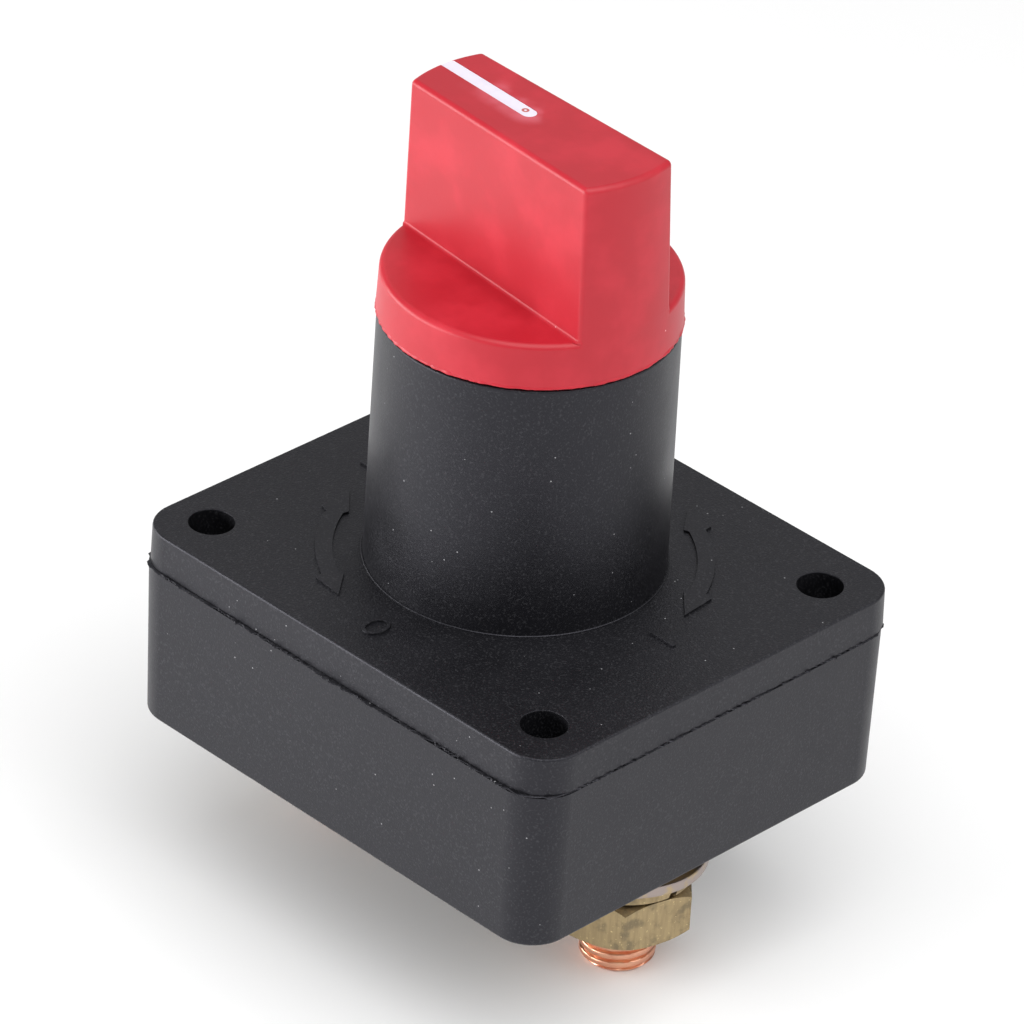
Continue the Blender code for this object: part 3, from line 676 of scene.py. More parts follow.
def steel():
    made = Finish("steel", (0.56, 0.56, 0.58), 0.28, metallic=1.0)
    streaks = made.noise(0.6 * MM, 3.0, place=made.stretched((1.0, 1.0, 6.0)))
    made.tint(made.ramp(streaks, 0.4, 0.7, 0.0, 0.5), (0.42, 0.42, 0.44))
    made.roughen(streaks, 0.15)
    made.bump(streaks, 0.01 * MM, 0.5)
    return made.done()


def natural_nylon():
    made = Finish("natural_nylon", (0.72, 0.68, 0.58), 0.45)
    made.shader.inputs["Subsurface Weight"].default_value = 0.15
    made.shader.inputs["Subsurface Scale"].default_value = 1.5 * MM
    cloud = made.noise(4 * MM, 3.0)
    made.tint(made.ramp(cloud, 0.4, 0.7, 0.0, 0.5), (0.64, 0.59, 0.48))
    made.roughen(cloud, 0.1)
    made.bump(made.noise(0.4 * MM, 2.0), 0.015 * MM, 0.5)
    return made.done()


def seal_rubber():
    made = Finish("seal_rubber", (0.018, 0.018, 0.018), 0.62)
    made.tint(made.ramp(made.noise(1 * MM, 3.0), 0.45, 0.7, 0.0, 0.5), (0.035, 0.035, 0.035))
    made.bump(made.noise(0.2 * MM, 2.0), 0.01 * MM, 0.5)
    return made.done()


# Case


def base_shell(finish):
    """The open lower box with its bosses, rails, screw holes and stud holes."""
    pairs = rounded_edge(BASE_DRAFT, 0.0, EDGE_ROUND, -1)
    top = BASE_HIGH.z
    pairs += rounded_edge(0.0, top, SEAM_EDGE_ROUND, 1, 3)
    block = lofted([case_outline(inset, z) for inset, z in pairs])
    base = mesh_object("case_base", moved(block, BASE_SHIFT))
    carve(base, lofted([case_outline(WALL, FLOOR_THICKNESS), case_outline(WALL, SEAM_Z + OVERRUN)]))
    inside = [cylinder(BOSS_RADIUS, FLOOR_THICKNESS / 2, top, centre) for centre in hole_centres()]
    for side_x in (-1, 1):
        for side_y in (-1, 1):
            xs = sorted((side_x * RAIL_START_X, side_x * RAIL_END_X))
            ys = sorted((side_y * RAIL_INNER_Y, side_y * (RAIL_INNER_Y + RAIL_THICKNESS)))
            inside.append(box((xs[0], ys[0], FLOOR_THICKNESS / 2), (xs[1], ys[1], RAIL_TOP)))
    carve(base, together(inside), "UNION")
    screw_hole = [
        (0.0, -OVERRUN),
        (HOLE_RADIUS + HOLE_CHAMFER + OVERRUN, -OVERRUN),
        (HOLE_RADIUS, HOLE_CHAMFER),
        (HOLE_RADIUS, SEAM_Z + OVERRUN),
        (0.0, SEAM_Z + OVERRUN),
    ]
    stud_hole = [
        (0.0, -OVERRUN),
        (WELL_RADIUS + HOLE_CHAMFER, -OVERRUN),
        (WELL_RADIUS + HOLE_CHAMFER, 0.0),
        (WELL_RADIUS, HOLE_CHAMFER),
        (WELL_RADIUS, WELL_DEPTH),
        (STUD_HOLE_RADIUS, WELL_DEPTH),
        (STUD_HOLE_RADIUS, FLOOR_THICKNESS + OVERRUN),
        (0.0, FLOOR_THICKNESS + OVERRUN),
    ]
    holes = [turned(screw_hole, centre, SMALL) for centre in hole_centres()]
    holes += [turned(stud_hole, (side * STUD_X, 0.0)) for side in (-1, 1)]
    carve(base, together(holes))
    finish_surface(base, finish)
    return base


def upper_shell(finish):
    """The lid and the hollow neck with its bearing tube, as one moulding."""
    bottom = LID_LOW.z
    pairs = rounded_edge(0.0, bottom, SEAM_EDGE_ROUND, -1, 3)
    pairs += rounded_edge(LID_DRAFT, LID_TOP, LID_EDGE_ROUND, 1)
    block = lofted([case_outline(inset, z) for inset, z in pairs])
    shell = mesh_object("case_lid_and_neck", moved(block, LID_SHIFT))
    plate_bottom = LID_TOP - LID_PLATE
    carve(shell, lofted([case_outline(WALL, 0.0), case_outline(WALL, plate_bottom)]))
    bosses = [cylinder(BOSS_RADIUS, bottom, LID_TOP - LID_PLATE / 2, centre) for centre in hole_centres()]
    carve(shell, together(bosses), "UNION")
    neck = [
        (0.0, plate_bottom + LID_PLATE / 2),
        (NECK_LIP_RADIUS, plate_bottom + LID_PLATE / 2),
        (NECK_LIP_RADIUS, LID_TOP + NECK_LIP_HEIGHT * 0.6),
        (NECK_LIP_RADIUS - NECK_LIP_HEIGHT * 0.4, LID_TOP + NECK_LIP_HEIGHT),
        (NECK_FOOT_RADIUS, LID_TOP + NECK_LIP_HEIGHT * 0.9),
    ]
    inner = rounded_edge(0.0, NECK_TOP, NECK_EDGE_ROUND, 1)[1:]
    neck += [(NECK_TOP_RADIUS - inset, z) for inset, z in inner]
    neck.append((0.0, NECK_TOP))
    carve(shell, turned(neck, sides=FINE), "UNION")
    bore_top = NECK_TOP - NECK_WEB
    bore = [
        (0.0, 0.0),
        (NECK_BORE_RADIUS, 0.0),
        (NECK_BORE_RADIUS, bore_top),
        (BEARING_OUTER_RADIUS, bore_top),
        (BEARING_OUTER_RADIUS, BEARING_BOTTOM),
        (BEARING_BORE_RADIUS, BEARING_BOTTOM),
        (BEARING_BORE_RADIUS, NECK_TOP + OVERRUN),
        (0.0, NECK_TOP + OVERRUN),
    ]
    rim = HOLE_RADIUS + HOLE_CHAMFER
    screw_hole = [
        (0.0, 0.0),
        (HOLE_RADIUS, 0.0),
        (HOLE_RADIUS, LID_TOP - HOLE_CHAMFER),
        (HOLE_RADIUS + 0.3 * HOLE_CHAMFER, LID_TOP - 0.3 * HOLE_CHAMFER),
        (rim, LID_TOP),
        (rim, LID_TOP + OVERRUN),
        (0.0, LID_TOP + OVERRUN),
    ]
    holes = [turned(screw_hole, centre, ROUND) for centre in hole_centres()]
    carve(shell, together([turned(bore)] + holes))
    finish_surface(shell, finish)
    return shell


def case_loop():
    """Points round the case's walls at the seam, anticlockwise, each with its outward direction."""
    loop = []
    for quarter in range(4):
        middle = Vector((*corner_middle(quarter, LENGTH, WIDTH, CORNER_RADIUS), 0.0))
        for i in range(FLASH_CORNER_STEPS + 1):
            angle = (quarter + i / FLASH_CORNER_STEPS) * pi / 2
            out = Vector((cos(angle), sin(angle), 0.0))
            loop.append((middle + out * CORNER_RADIUS, out))
        start, out = loop[-1]
        along = Vector((-out.y, out.x, 0.0))
        run = (WIDTH if quarter in (1, 3) else LENGTH) - 2 * CORNER_RADIUS
        count = int(run / FLASH_STEP)
        loop += [(start + along * (run * i / count), out) for i in range(1, count)]
    return loop


def flash_reach(place):
    """How far the flash stands out from the walls at a place on them, less than nothing in a gap."""
    ragged = noise.fractal(place / (0.8 * MM), 0.7, 2.2, 4)
    slow = noise.noise(place / (7 * MM))
    reach = FLASH_MEAN_REACH + FLASH_RAGGED_REACH * ragged + FLASH_SLOW_REACH * slow
    for centre, spread, extra in BURRS:
        near = max(0.0, 1 - (place - centre).length / spread)
        reach += extra * near * (0.5 + 0.9 * noise.noise(place / (0.6 * MM)))
    least, most = FLASH_REACH_LIMITS
    return max(least, min(reach, most))


def seam_flash(finish):
    """The thin ragged web of plastic that squeezed out along the joint, as one closed ribbon."""
    rings = []
    for place, out in case_loop():
        place = place + out * max(out.dot(BASE_SHIFT), out.dot(LID_SHIFT))
        drift = FLASH_DRIFT * noise.noise(place / (2.2 * MM) + Vector((5.0, 0.0, 0.0)))
        change = noise.noise(place / (0.7 * MM) + Vector((0.0, 9.0, 0.0)))
        half = FLASH_HALF_THICKNESS + FLASH_THICKNESS_CHANGE * change
        root = place - out * FLASH_ROOT
        tip = place + out * flash_reach(place)
        edge = tip - out * half
        middle_z = SEAM_Z + drift
        rings.append(
            [
                (root.x, root.y, SEAM_Z - FLASH_ROOT_HALF),
                (edge.x, edge.y, middle_z - half),
                (tip.x, tip.y, middle_z),
                (edge.x, edge.y, middle_z + half),
                (root.x, root.y, SEAM_Z + FLASH_ROOT_HALF),
            ]
        )
    flash = mesh_object("seam_flash", lofted(rings, closed_loop=True), finish)
    shade_ragged(flash, radians(50))
    return flash


def polar(radius, angle):
    return radius * cos(angle), radius * sin(angle)


def arrow_points():
    """The plan outline of one curved arrow with a head at each end."""
    steps = 22
    first, last = ARROW_BAND
    spread = [first + (last - first) * i / steps for i in range(steps + 1)]
    points = [polar(ARROW_INNER, angle) for angle in spread]
    points += [polar(ARROW_HEAD_INNER, ARROW_BARBS[1]), polar(ARROW_TIP_RADIUS, ARROW_TIPS[1])]
    points += [polar(ARROW_HEAD_OUTER, ARROW_BARBS[1])]
    points += [polar(ARROW_OUTER, angle) for angle in reversed(spread)]
    points += [polar(ARROW_HEAD_OUTER, ARROW_BARBS[0]), polar(ARROW_TIP_RADIUS, ARROW_TIPS[0])]
    points += [polar(ARROW_HEAD_INNER, ARROW_BARBS[0])]
    return points


def lid_marks(finish):
    """Two double-ended arrows, and the generic symbols for on and off, as low raised shapes."""
    bottom = LID_TOP - MARK_ROOT
    top = LID_TOP + MARK_HEIGHT
    solids = []
    near = ON_RADIUS - SYMBOL_HEIGHT / 2
    far = ON_RADIUS + SYMBOL_HEIGHT / 2
    half = SYMBOL_STROKE / 2
    bar = [(far, half), (far, -half), (near, -half), (near, half)]
    off = (OFF_ASIDE, -OFF_RADIUS)
    for half_turn in (0.0, pi):
        shapes = [prism(outline, bottom, top) for outline in (arrow_points(), bar)]
        shapes.append(oval_ring(off, OFF_HALF_WIDTH, SYMBOL_HEIGHT / 2, SYMBOL_STROKE, bottom, top))
        solids += [turned_about_z(shape, half_turn) for shape in shapes]
    marks = mesh_object("lid_marks", together(solids))
    bevel_sharp(marks, MARK_ROUND, 2, radians(50))
    finish_surface(marks, finish)
    return marks


def oval_ring(centre, half_x, half_y, stroke, bottom, top):
    """A raised oval outline, stroke wide."""
    rings = []
    steps = 56
    for i in range(steps):
        angle = 2 * pi * i / steps
        outer = (centre[0] + half_x * cos(angle), centre[1] + half_y * sin(angle))
        inner = (centre[0] + (half_x - stroke) * cos(angle), centre[1] + (half_y - stroke) * sin(angle))
        rings.append([(*outer, bottom), (*outer, top), (*inner, top), (*inner, bottom)])
    return lofted(rings, closed_loop=True)


# Knob


def grip_outline(z, reach, flare=0.0, bulge=0.0):
    """The grip's plan at height z: a core swollen by reach, with flare on the flanks, bulge on the ends."""
    share = (z - DISC_TOP) / (KNOB_HIGH.z - DISC_TOP)
    slant = -GRIP_LEAN * share
    core = cone_radius(z) - KNOB_EDGE
    flanks = {}  # the outward direction of each, and its two ends, anticlockwise
    for flank in (1, -1):
        top_taper = GRIP_TAPER if flank > 0 else GRIP_TOP_TAPER
        taper = GRIP_TAPER + (top_taper - GRIP_TAPER) * share
        half = GRIP_HALF_WIDTH + (GRIP_TOP_HALF_WIDTH - GRIP_HALF_WIDTH) * share
        half += (GRIP_TAPER - taper) * DISC_RADIUS
        normal = Vector((-taper, flank, 0.0)).normalized()
        along = Vector((1.0, flank * taper, 0.0)).normalized()
        offset = (half + flank * slant) * abs(normal.y) - KNOB_EDGE
        span = along * (flank * sqrt(core**2 - offset**2))
        flanks[flank] = (normal, normal * offset + span, normal * offset - span)
    end_steps = 26
    corner_steps = 7
    points = []
    for flank in (1, -1):
        normal, first, second = flanks[flank]
        before = flanks[-flank][2]  # the grip's end lies between this corner and the flank's first one
        half_turn = 0.0 if flank > 0 else pi
        begin_angle = atan2(before.y * flank, before.x * flank) + half_turn
        end_angle = atan2(first.y * flank, first.x * flank) + half_turn
        for i in range(1, end_steps):
            angle = begin_angle + (end_angle - begin_angle) * i / end_steps
            points.append(Vector((cos(angle), sin(angle), 0.0)) * (core + reach + bulge))
        turns = ((first, first.normalized(), normal, False), (second, normal, second.normalized(), True))
        for corner, begin, finish, leaving in turns:
            for i in range(corner_steps + 1):
                turn = i / corner_steps
                facing = begin.lerp(finish, turn).normalized()
                flank_share = (1 - turn if leaving else turn) ** 2
                points.append(corner + facing * (reach + flare * flank_share + bulge * (1 - flank_share)))
    return [Vector((p.x, p.y, z)) for p in points]


def cone_radius(z):
    """The radius at height z of the cone that the disc's side and the grip's ends lie on."""
    share = (z - KNOB_LOW.z) / (KNOB_HIGH.z - KNOB_LOW.z)
    return DISC_RADIUS + (KNOB_TOP_RADIUS - DISC_RADIUS) * share


def grip():
    """The grip, flared into the disc at its foot and rounded over at its top."""
    steps = 6
    foot = DISC_TOP - DISC_ROUND
    rings = [grip_outline(foot - GRIP_ROOT_DEPTH, KNOB_EDGE, 0.0, -GRIP_ROOT_INSET)]
    rings.append(grip_outline(foot, KNOB_EDGE, 0.0, GRIP_PROUD))
    for i in range(steps + 1):
        angle = (1 - i / steps) * pi / 2
        z = DISC_TOP + GRIP_FILLET * (1 - sin(angle))
        rings.append(grip_outline(z, KNOB_EDGE, GRIP_FILLET * (1 - cos(angle)), GRIP_PROUD))
    for i in range(steps + 1):
        angle = i / steps * KNOB_EDGE_SWEEP
        z = KNOB_HIGH.z - KNOB_EDGE * (1 - sin(angle) / sin(KNOB_EDGE_SWEEP))
        rings.append(grip_outline(z, KNOB_EDGE * cos(angle)))
    return lofted(rings)


def pointer_shape(width, length, bottom, top):
    """The pointer's round-ended bar, running out past the grip's -X end."""
    steps = 16
    start = -KNOB_TOP_RADIUS - OVERRUN
    middle = -KNOB_TOP_RADIUS + length - width / 2
    outline = [(start, width / 2), (start, -width / 2)]
    for i in range(steps + 1):
        angle = pi * (i / steps - 0.5)
        outline.append((middle + width / 2 * cos(angle), width / 2 * sin(angle)))
    return prism([(x, y - GRIP_LEAN) for x, y in outline], bottom, top)


def knob_disc():
    """The disc under the grip, with a small chamfer at its foot and a round shoulder."""
    bottom = KNOB_LOW.z
    foot = [(DISC_RADIUS - DISC_FOOT_INSET, bottom), (DISC_RADIUS, bottom + DISC_FOOT_HEIGHT)]
    shoulder_radius = cone_radius(DISC_TOP - DISC_ROUND)
    shoulder = rounded_edge(0.0, DISC_TOP, DISC_ROUND, 1, 8)
    side = [(shoulder_radius - inset, z) for inset, z in shoulder]
    return turned([(0.0, bottom)] + foot + side + [(0.0, DISC_TOP)], sides=FINE)


def knob_rooms():
    """What is hollow inside the knob: the screw's hole, the spindle's socket, a recess and two pockets."""
    below = KNOB_LOW.z - OVERRUN
    half = SOCKET_SIZE / 2
    rooms = [cylinder(SCREW_HOLE_RADIUS, SOCKET_TOP - MM, SCREW_HOLE_TOP, sides=SMALL)]
    rooms.append(box((-half, -half, below), (half, half, SOCKET_TOP)))
    rooms.append(cylinder(RECESS_RADIUS, below, RECESS_TOP))
    for side in (-1, 1):
        low_x, high_x = sorted((side * POCKET_INNER, side * POCKET_OUTER))
        rooms.append(box((low_x, -POCKET_WIDTH / 2, below), (high_x, POCKET_WIDTH / 2, POCKET_TOP)))
    return rooms


def knob_pieces(red, white):
    """The knob and the pointer that is let into its top."""
    top = KNOB_HIGH.z
    knob = mesh_object("knob_moulding", knob_disc())
    carve(knob, grip(), "UNION")
    inlay = copy_of(knob, "pointer_inlay")
    shape = pointer_shape(POINTER_WIDTH, POINTER_LENGTH, top - POINTER_DEPTH, top + OVERRUN)
    carve(inlay, shape, "INTERSECT")
    put_back(moved(bmesh_of(inlay), (0.0, 0.0, -POINTER_SINK)), inlay)
    groove_width = POINTER_WIDTH + 2 * POINTER_CLEARANCE
    groove_length = POINTER_LENGTH + POINTER_CLEARANCE
    groove_bottom = top - POINTER_DEPTH - 2 * POINTER_SINK
    carve(knob, pointer_shape(groove_width, groove_length, groove_bottom, top + OVERRUN))
    for room in knob_rooms():
        carve(knob, room)
    close_slivers(knob)
    for item, finish in ((knob, red), (inlay, white)):
        put_back(turned_about_z(bmesh_of(item), GRIP_ANGLE), item)
        finish_surface(item, finish)
    return knob, inlay


def knob_flash(finish):
    """The thin uneven lip of moulding flash round the knob's lower edge."""
    rings = []
    root = DISC_RADIUS - LIP_ROOT
    for i in range(LIP_STEPS):
        angle = 2 * pi * i / LIP_STEPS
        out = Vector((cos(angle), sin(angle), 0.0))
        place = out * DISC_RADIUS
        reach = LIP_MEAN_REACH + LIP_RAGGED_REACH * noise.fractal(place / (1.1 * MM), 0.9, 2.1, 3)
        reach += LIP_SLOW_REACH * noise.noise(place / (6 * MM))
        drop = LIP_DROP * noise.noise(place / (2.5 * MM) + Vector((3.0, 1.0, 0.0)))
        outer = DISC_RADIUS + max(reach, -0.02 * MM)
        low = KNOB_LOW.z + 0.02 * MM + max(-0.06 * MM, min(drop, 0.04 * MM))
        profile = [
            (root, low + 0.02 * MM),
            (outer - 0.06 * MM, low),
            (outer, low + 0.07 * MM),
            (outer - 0.04 * MM, low + 0.2 * MM),
            (DISC_RADIUS - 0.05 * MM, low + 0.45 * MM),
            (root, low + 0.4 * MM),
        ]
        rings.append([(out.x * radius, out.y * radius, z) for radius, z in profile])
    lip = mesh_object("knob_lip", lofted(rings, closed_loop=True), finish)
    shade_ragged(lip, radians(60))
    return lip


# Terminals


def thread_radius(angle, z, tip):
    """A rolled thread: broad rounded crests with narrow grooves, fading out at the tip's chamfer."""
    phase = ((z - tip) / THREAD_PITCH - angle / (2 * pi)) % 1.0
    groove = max(0.0, 1 - abs(phase - THREAD_GROOVE_PHASE) / THREAD_GROOVE_HALF_WIDTH)
    crest = THREAD_CREST * cos(2 * pi * (phase - THREAD_CREST_PHASE))
    depth = (STUD_RADIUS - STUD_ROOT_RADIUS) * sin(groove * pi / 2) ** 2
    limit = STUD_RADIUS - STUD_CHAMFER + max(0.0, z - tip) * STUD_CHAMFER_SLOPE
    return min(STUD_RADIUS - THREAD_CREST + crest - depth, limit)


def stud(side, word, finish):
    """A square-headed stud, threaded below the base."""
    low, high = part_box(f"{word}_terminal_stud")
    centre = Vector((side * STUD_X, 0.0, 0.0))
    top = STUD_HEAD_BOTTOM + STUD_HEAD_HEIGHT / 2
    sides = 72
    rows = int((top - low.z) / (THREAD_PITCH / THREAD_ROWS_PER_PITCH))
    rings = []
    for row in range(rows + 1):
        z = low.z + (top - low.z) * row / rows
        ring = []
        for i in range(sides):
            angle = 2 * pi * i / sides
            radius = thread_radius(angle, z, low.z) if z < 0 else STUD_RADIUS - THREAD_CREST
            ring.append(centre + Vector((radius * cos(angle), radius * sin(angle), z)))
        rings.append(ring)
    tip = [centre + (point - centre) * STUD_TIP_FLAT for point in rings[0]]
    tip = [Vector((point.x, point.y, low.z)) for point in tip]
    rings[0] = [Vector((point.x, point.y, low.z + STUD_TIP_ROUND)) for point in rings[0]]
    shank = mesh_object(f"{word}_stud_threaded", lofted([tip] + rings))
    half = STUD_HEAD_SIZE / 2
    block = box((centre.x - half, -half, STUD_HEAD_BOTTOM), (centre.x + half, half, high.z))
    head = mesh_object("head", block)
    bevel_sharp(head, STUD_HEAD_EDGE, 3)
    carve(shank, bmesh_of(head), "UNION")
    bpy.data.objects.remove(head)
    finish_surface(shank, finish, radians(40))
    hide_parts(f"{word}_terminal_stud")
    return shank


def is_upright(edge):
    return abs((edge.verts[0].co - edge.verts[1].co).normalized().z) > 0.9


def nut(name, node_name, side, finish):
    """A hexagon nut with turned chamfers and slightly rounded corners."""
    low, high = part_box(node_name)
    centre = (side * STUD_X, 0.0)
    flat = NUT_FLATS / 2
    corner = flat / cos(pi / 6)
    face = flat - NUT_FACE_INSET
    blank = [(0.0, low.z), (face, low.z)]
    arc_steps = 4
    arc = []
    for i in range(arc_steps + 1):
        share = i / arc_steps
        arc.append((face + (corner - face) * share, NUT_CHAMFER_DROP * share**NUT_CHAMFER_CURVE))
    blank += [(radius, low.z + drop) for radius, drop in arc[1:]]
    blank += [(radius, high.z - drop) for radius, drop in reversed(arc)]
    blank.append((0.0, high.z))
    made = mesh_object(name, turned(blank, centre, FINE))
    outline = []
    for i in range(6):
        angle = NUT_ANGLE + i * pi / 3
        outline.append((centre[0] + corner * cos(angle), centre[1] + corner * sin(angle)))
    carve(made, prism(outline, low.z - OVERRUN, high.z + OVERRUN), "INTERSECT")
    mouth = NUT_BORE_RADIUS + NUT_BORE_CHAMFER
    bore = [
        (0.0, low.z - OVERRUN),
        (mouth, low.z - OVERRUN),
        (mouth, low.z),
        (NUT_BORE_RADIUS, low.z + NUT_BORE_CHAMFER),
        (NUT_BORE_RADIUS, high.z - NUT_BORE_CHAMFER),
        (mouth, high.z),
        (mouth, high.z + OVERRUN),
        (0.0, high.z + OVERRUN),
    ]
    carve(made, turned(bore, centre))
    bevel_sharp(made, NUT_CORNER_ROUND, 3, radians(40), is_upright)
    finish_surface(made, finish)
    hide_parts(node_name)
    return made


def flat_washer(word, side, finish):
    """A plain washer with rounded edges, slightly bent at its rim."""
    node_name = f"{word}_flat_washer"
    low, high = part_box(node_name)
    over = rounded_edge(0.0, high.z, FLAT_WASHER_ROUND, 1, 4)
    under = rounded_edge(0.0, low.z, FLAT_WASHER_ROUND, -1, 4)
    profile = [(NUT_BORE_RADIUS + inset, z) for inset, z in reversed(under)]
    profile += [(FLAT_WASHER_RADIUS - inset, z) for inset, z in under + over]
    profile += [(NUT_BORE_RADIUS + inset, z) for inset, z in reversed(over)]
    centre = (side * STUD_X, 0.0)
    bm = turned(profile, centre)
    for vert in bm.verts:
        away = vert.co - Vector((centre[0], centre[1], vert.co.z))
        share = max(0.0, away.length / FLAT_WASHER_RADIUS - 0.8) * 5
        bend = noise.noise(away / (6 * MM) + Vector((side, 0.0, 0.0)))
        vert.co.z += FLAT_WASHER_BEND * bend * share
    made = mesh_object(f"{word}_washer_plain", bm)
    finish_surface(made, finish)
    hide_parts(node_name)
    return made


def lock_washer(word, side, finish):
    """A spring washer: one turn of square wire whose cut ends stand slightly apart."""
    node_name = f"{word}_lock_washer"
    low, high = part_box(node_name)
    gap = LOCK_WASHER_SPLIT / 2
    edge = LOCK_WASHER_CHAMFER
    inner, outer = LOCK_WASHER_BORE, LOCK_WASHER_RADIUS
    rings = []
    steps = 110
    for step in range(steps + 1):
        share = step / steps
        lift = LOCK_WASHER_RISE * (share - 0.5)
        section = [
            (inner, low.z + edge),
            (inner + edge, low.z),
            (outer - edge, low.z),
            (outer, low.z + edge),
            (outer, high.z - edge),
            (outer - edge, high.z),
            (inner + edge, high.z),
            (inner, high.z - edge),
        ]
        ring = []
        for radius, z in section:
            slant = (z - (low.z + high.z) / 2) * 0.5 / radius
            cut = asin(gap / radius)
            angle = cut + share * (2 * pi - 2 * cut) + slant
            ring.append((side * STUD_X + radius * cos(angle), radius * sin(angle), z + lift))
        rings.append(ring)
    made = mesh_object(f"{word}_washer_spring", lofted(rings))
    finish_surface(made, finish)
    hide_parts(node_name)
    return made


# Inside


def contact_spring(finish):
    """The coil, of smooth round wire."""
    low = SPRING_LOW.z + SPRING_WIRE
    high = SPRING_HIGH.z - SPRING_WIRE
    per_turn = 48
    total = SPRING_TURNS * per_turn
    wire_sides = 14
    rings = []
    for step in range(total + 1):
        angle = 2 * pi * step / per_turn
        middle = low + (high - low) * step / total
        out = Vector((cos(angle), sin(angle), 0.0))
        row = []
        for side in range(wire_sides):
            around = 2 * pi * side / wire_sides
            reach = SPRING_RADIUS + SPRING_WIRE * cos(around)
            row.append(out * reach + Vector((0.0, 0.0, middle + SPRING_WIRE * sin(around))))
        rings.append(row)
    coil = mesh_object("spring_coil", lofted(rings))
    finish_surface(coil, finish, radians(50))
    return coil


# Stage


CAMERA_AZIMUTH = radians(43.753)
CAMERA_ELEVATION = radians(31.966)
CAMERA_ROLL = radians(3.469)
CAMERA_DISTANCE = 877.9 * MM
CAMERA_SIDE = -0.69 * MM
CAMERA_RISE = -0.29 * MM
CAMERA_LENS = 248.8
CAMERA_SENSOR = 36.0
FLOOR_HALF_SIZE = 3.0
ROOM_BRIGHTNESS = 0.36


def direction(azimuth, elevation):
    """Unit vector from the object towards a place: azimuth 0 is on the -Y side, 90 degrees on the +X side."""
    return Vector((sin(azimuth) * cos(elevation), -cos(azimuth) * cos(elevation), sin(elevation)))


def add_camera(middle):
    """A long lens, aimed slightly beside and below the middle of the object."""
    back = direction(CAMERA_AZIMUTH, CAMERA_ELEVATION)
    right = Vector((cos(CAMERA_AZIMUTH), sin(CAMERA_AZIMUTH), 0.0))
    up = back.cross(right)
    place = middle + right * CAMERA_SIDE + up * CAMERA_RISE + back * CAMERA_DISTANCE
    rolled_right = right * cos(CAMERA_ROLL) + up * sin(CAMERA_ROLL)
    rolled_up = up * cos(CAMERA_ROLL) - right * sin(CAMERA_ROLL)
    data = bpy.data.cameras.new("camera")
    data.sensor_width = CAMERA_SENSOR
    data.lens = CAMERA_LENS
    data.clip_start = 0.01
    data.clip_end = 20.0
    camera = bpy.data.objects.new("camera", data)
    bpy.context.scene.collection.objects.link(camera)
    turn = Matrix((rolled_right, rolled_up, back)).transposed()
    camera.matrix_world = Matrix.Translation(place) @ turn.to_4x4()
    bpy.context.scene.camera = camera


def softbox(name, middle, azimuth, elevation, distance, size, power):
    """A rectangular area light that faces the middle, with its angles in degrees."""
    data = bpy.data.lights.new(name, "AREA")
    data.shape = "RECTANGLE"
    data.size, data.size_y = size
    data.energy = power
    lamp = bpy.data.objects.new(name, data)
    towards = direction(radians(azimuth), radians(elevation))
    lamp.location = middle + towards * distance
    lamp.rotation_mode = "QUATERNION"
    lamp.rotation_quaternion = towards.to_track_quat("Z", "Y")
    bpy.context.scene.collection.objects.link(lamp)


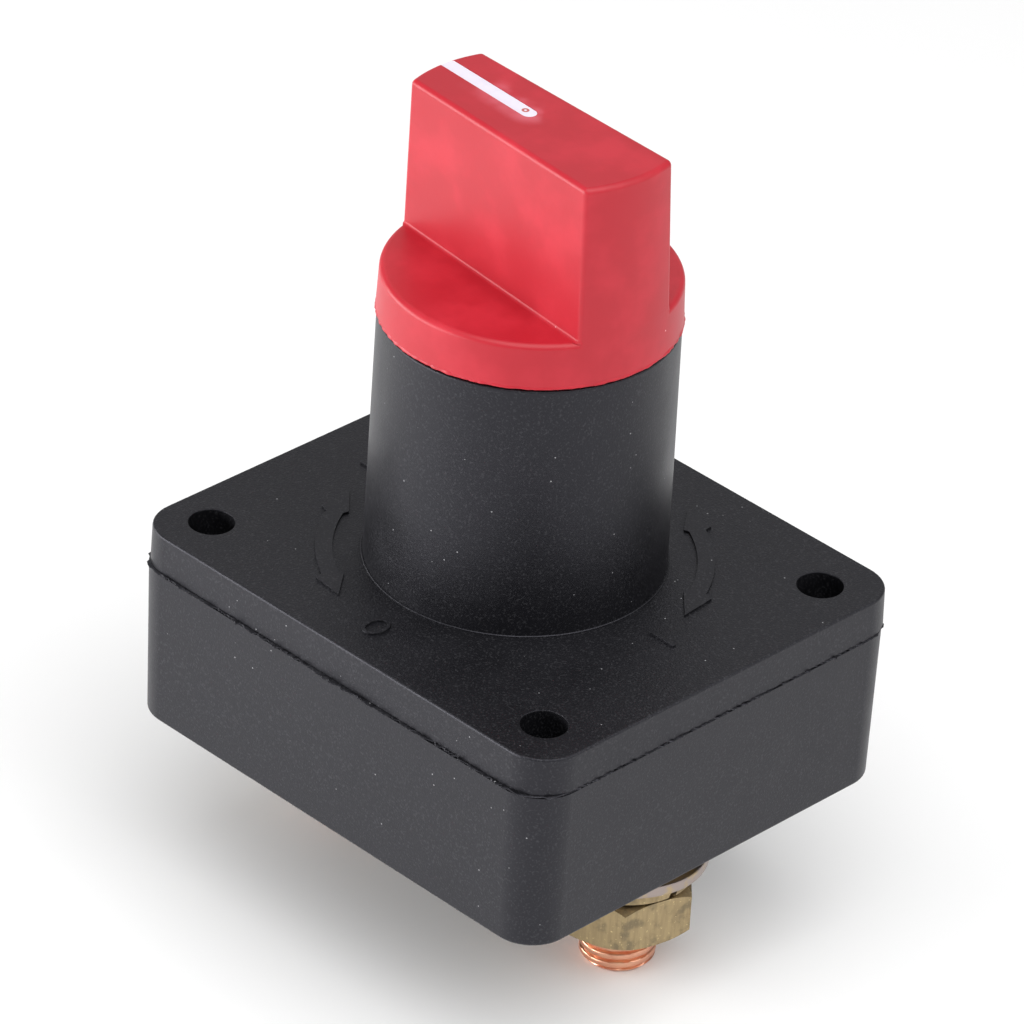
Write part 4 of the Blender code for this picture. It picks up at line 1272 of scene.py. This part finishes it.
def add_stage(middle, floor_z):
    """A large pale floor, four soft lights round the object and an even white room."""
    bm = bmesh.new()
    signs = ((-1, -1), (1, -1), (1, 1), (-1, 1))
    bm.faces.new([bm.verts.new((x * FLOOR_HALF_SIZE, y * FLOOR_HALF_SIZE, floor_z)) for x, y in signs])
    paper = Finish("white_paper", (0.9, 0.9, 0.9), 0.8, specular=0.1)
    floor = mesh_object("floor", bm, paper.done())
    softbox("left_softbox", middle, -42, 7, 0.6, (0.8, 0.2), 4.3)
    softbox("right_softbox", middle, 112, 34, 0.9, (0.7, 0.8), 2.3)
    softbox("top_softbox", middle, 60, 66, 1.0, (1.1, 1.1), 9.4)
    softbox("back_softbox", middle, 224, 36, 1.2, (1.2, 0.8), 1.0)
    world = bpy.data.worlds.new("studio")
    bpy.context.scene.world = world
    world.use_nodes = True
    background = world.node_tree.nodes["Background"]
    background.inputs["Color"].default_value = (1.0, 1.0, 1.0, 1.0)
    background.inputs["Strength"].default_value = ROOM_BRIGHTNESS
    bpy.context.scene.view_settings.view_transform = "Standard"


# Build


def build():
    black = black_plastic()
    mark_black = black_plastic("black_plastic_marks", 0.35)
    red = red_plastic()
    gold = brass()
    plated = plated_brass()
    red_metal = copper()
    bright = steel()
    nylon = natural_nylon()

    base = base_shell(black)
    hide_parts("base")
    shell = upper_shell(black)
    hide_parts("upper_housing")
    marks = lid_marks(mark_black)
    flash = seam_flash(mark_black)
    for piece in (base, shell, marks, flash):
        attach(piece, "housing")

    knob, inlay = knob_pieces(red, white_paint())
    lip = knob_flash(red)
    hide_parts("knob")
    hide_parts("knob_pointer")
    for piece, name in ((knob, "knob_plastic"), (inlay, "pointer_white"), (lip, "knob_plastic")):
        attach(piece, "rotor")

    for side, word in ((1, "right"), (-1, "left")):
        pieces = [
            stud(side, word, red_metal),
            nut(f"{word}_nut_upper", f"{word}_inner_nut", side, gold),
            nut(f"{word}_nut_lower", f"{word}_outer_nut", side, gold),
            flat_washer(word, side, plated),
            lock_washer(word, side, gold),
        ]
        for piece in pieces:
            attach(piece, "housing")

    coil = contact_spring(bright)
    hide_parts("contact_spring")
    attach(coil, "housing")
    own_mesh(coil)

    inner = {
        "thrust_washer": nylon,
        "contact_carrier": nylon,
        "spindle_o_ring": seal_rubber(),
        "spindle": bright,
        "knob_screw": bright,
        "cam_pin": bright,
        "contact_bridge": red_metal,
        "bridge_rivet": red_metal,
    }
    for name, finish in inner.items():
        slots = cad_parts[name].data.materials
        slots.clear()
        slots.append(finish)

    low, high = CAD_BOUNDS
    middle = (low + high) / 2
    add_camera(middle)
    add_stage(middle, low.z)


build()
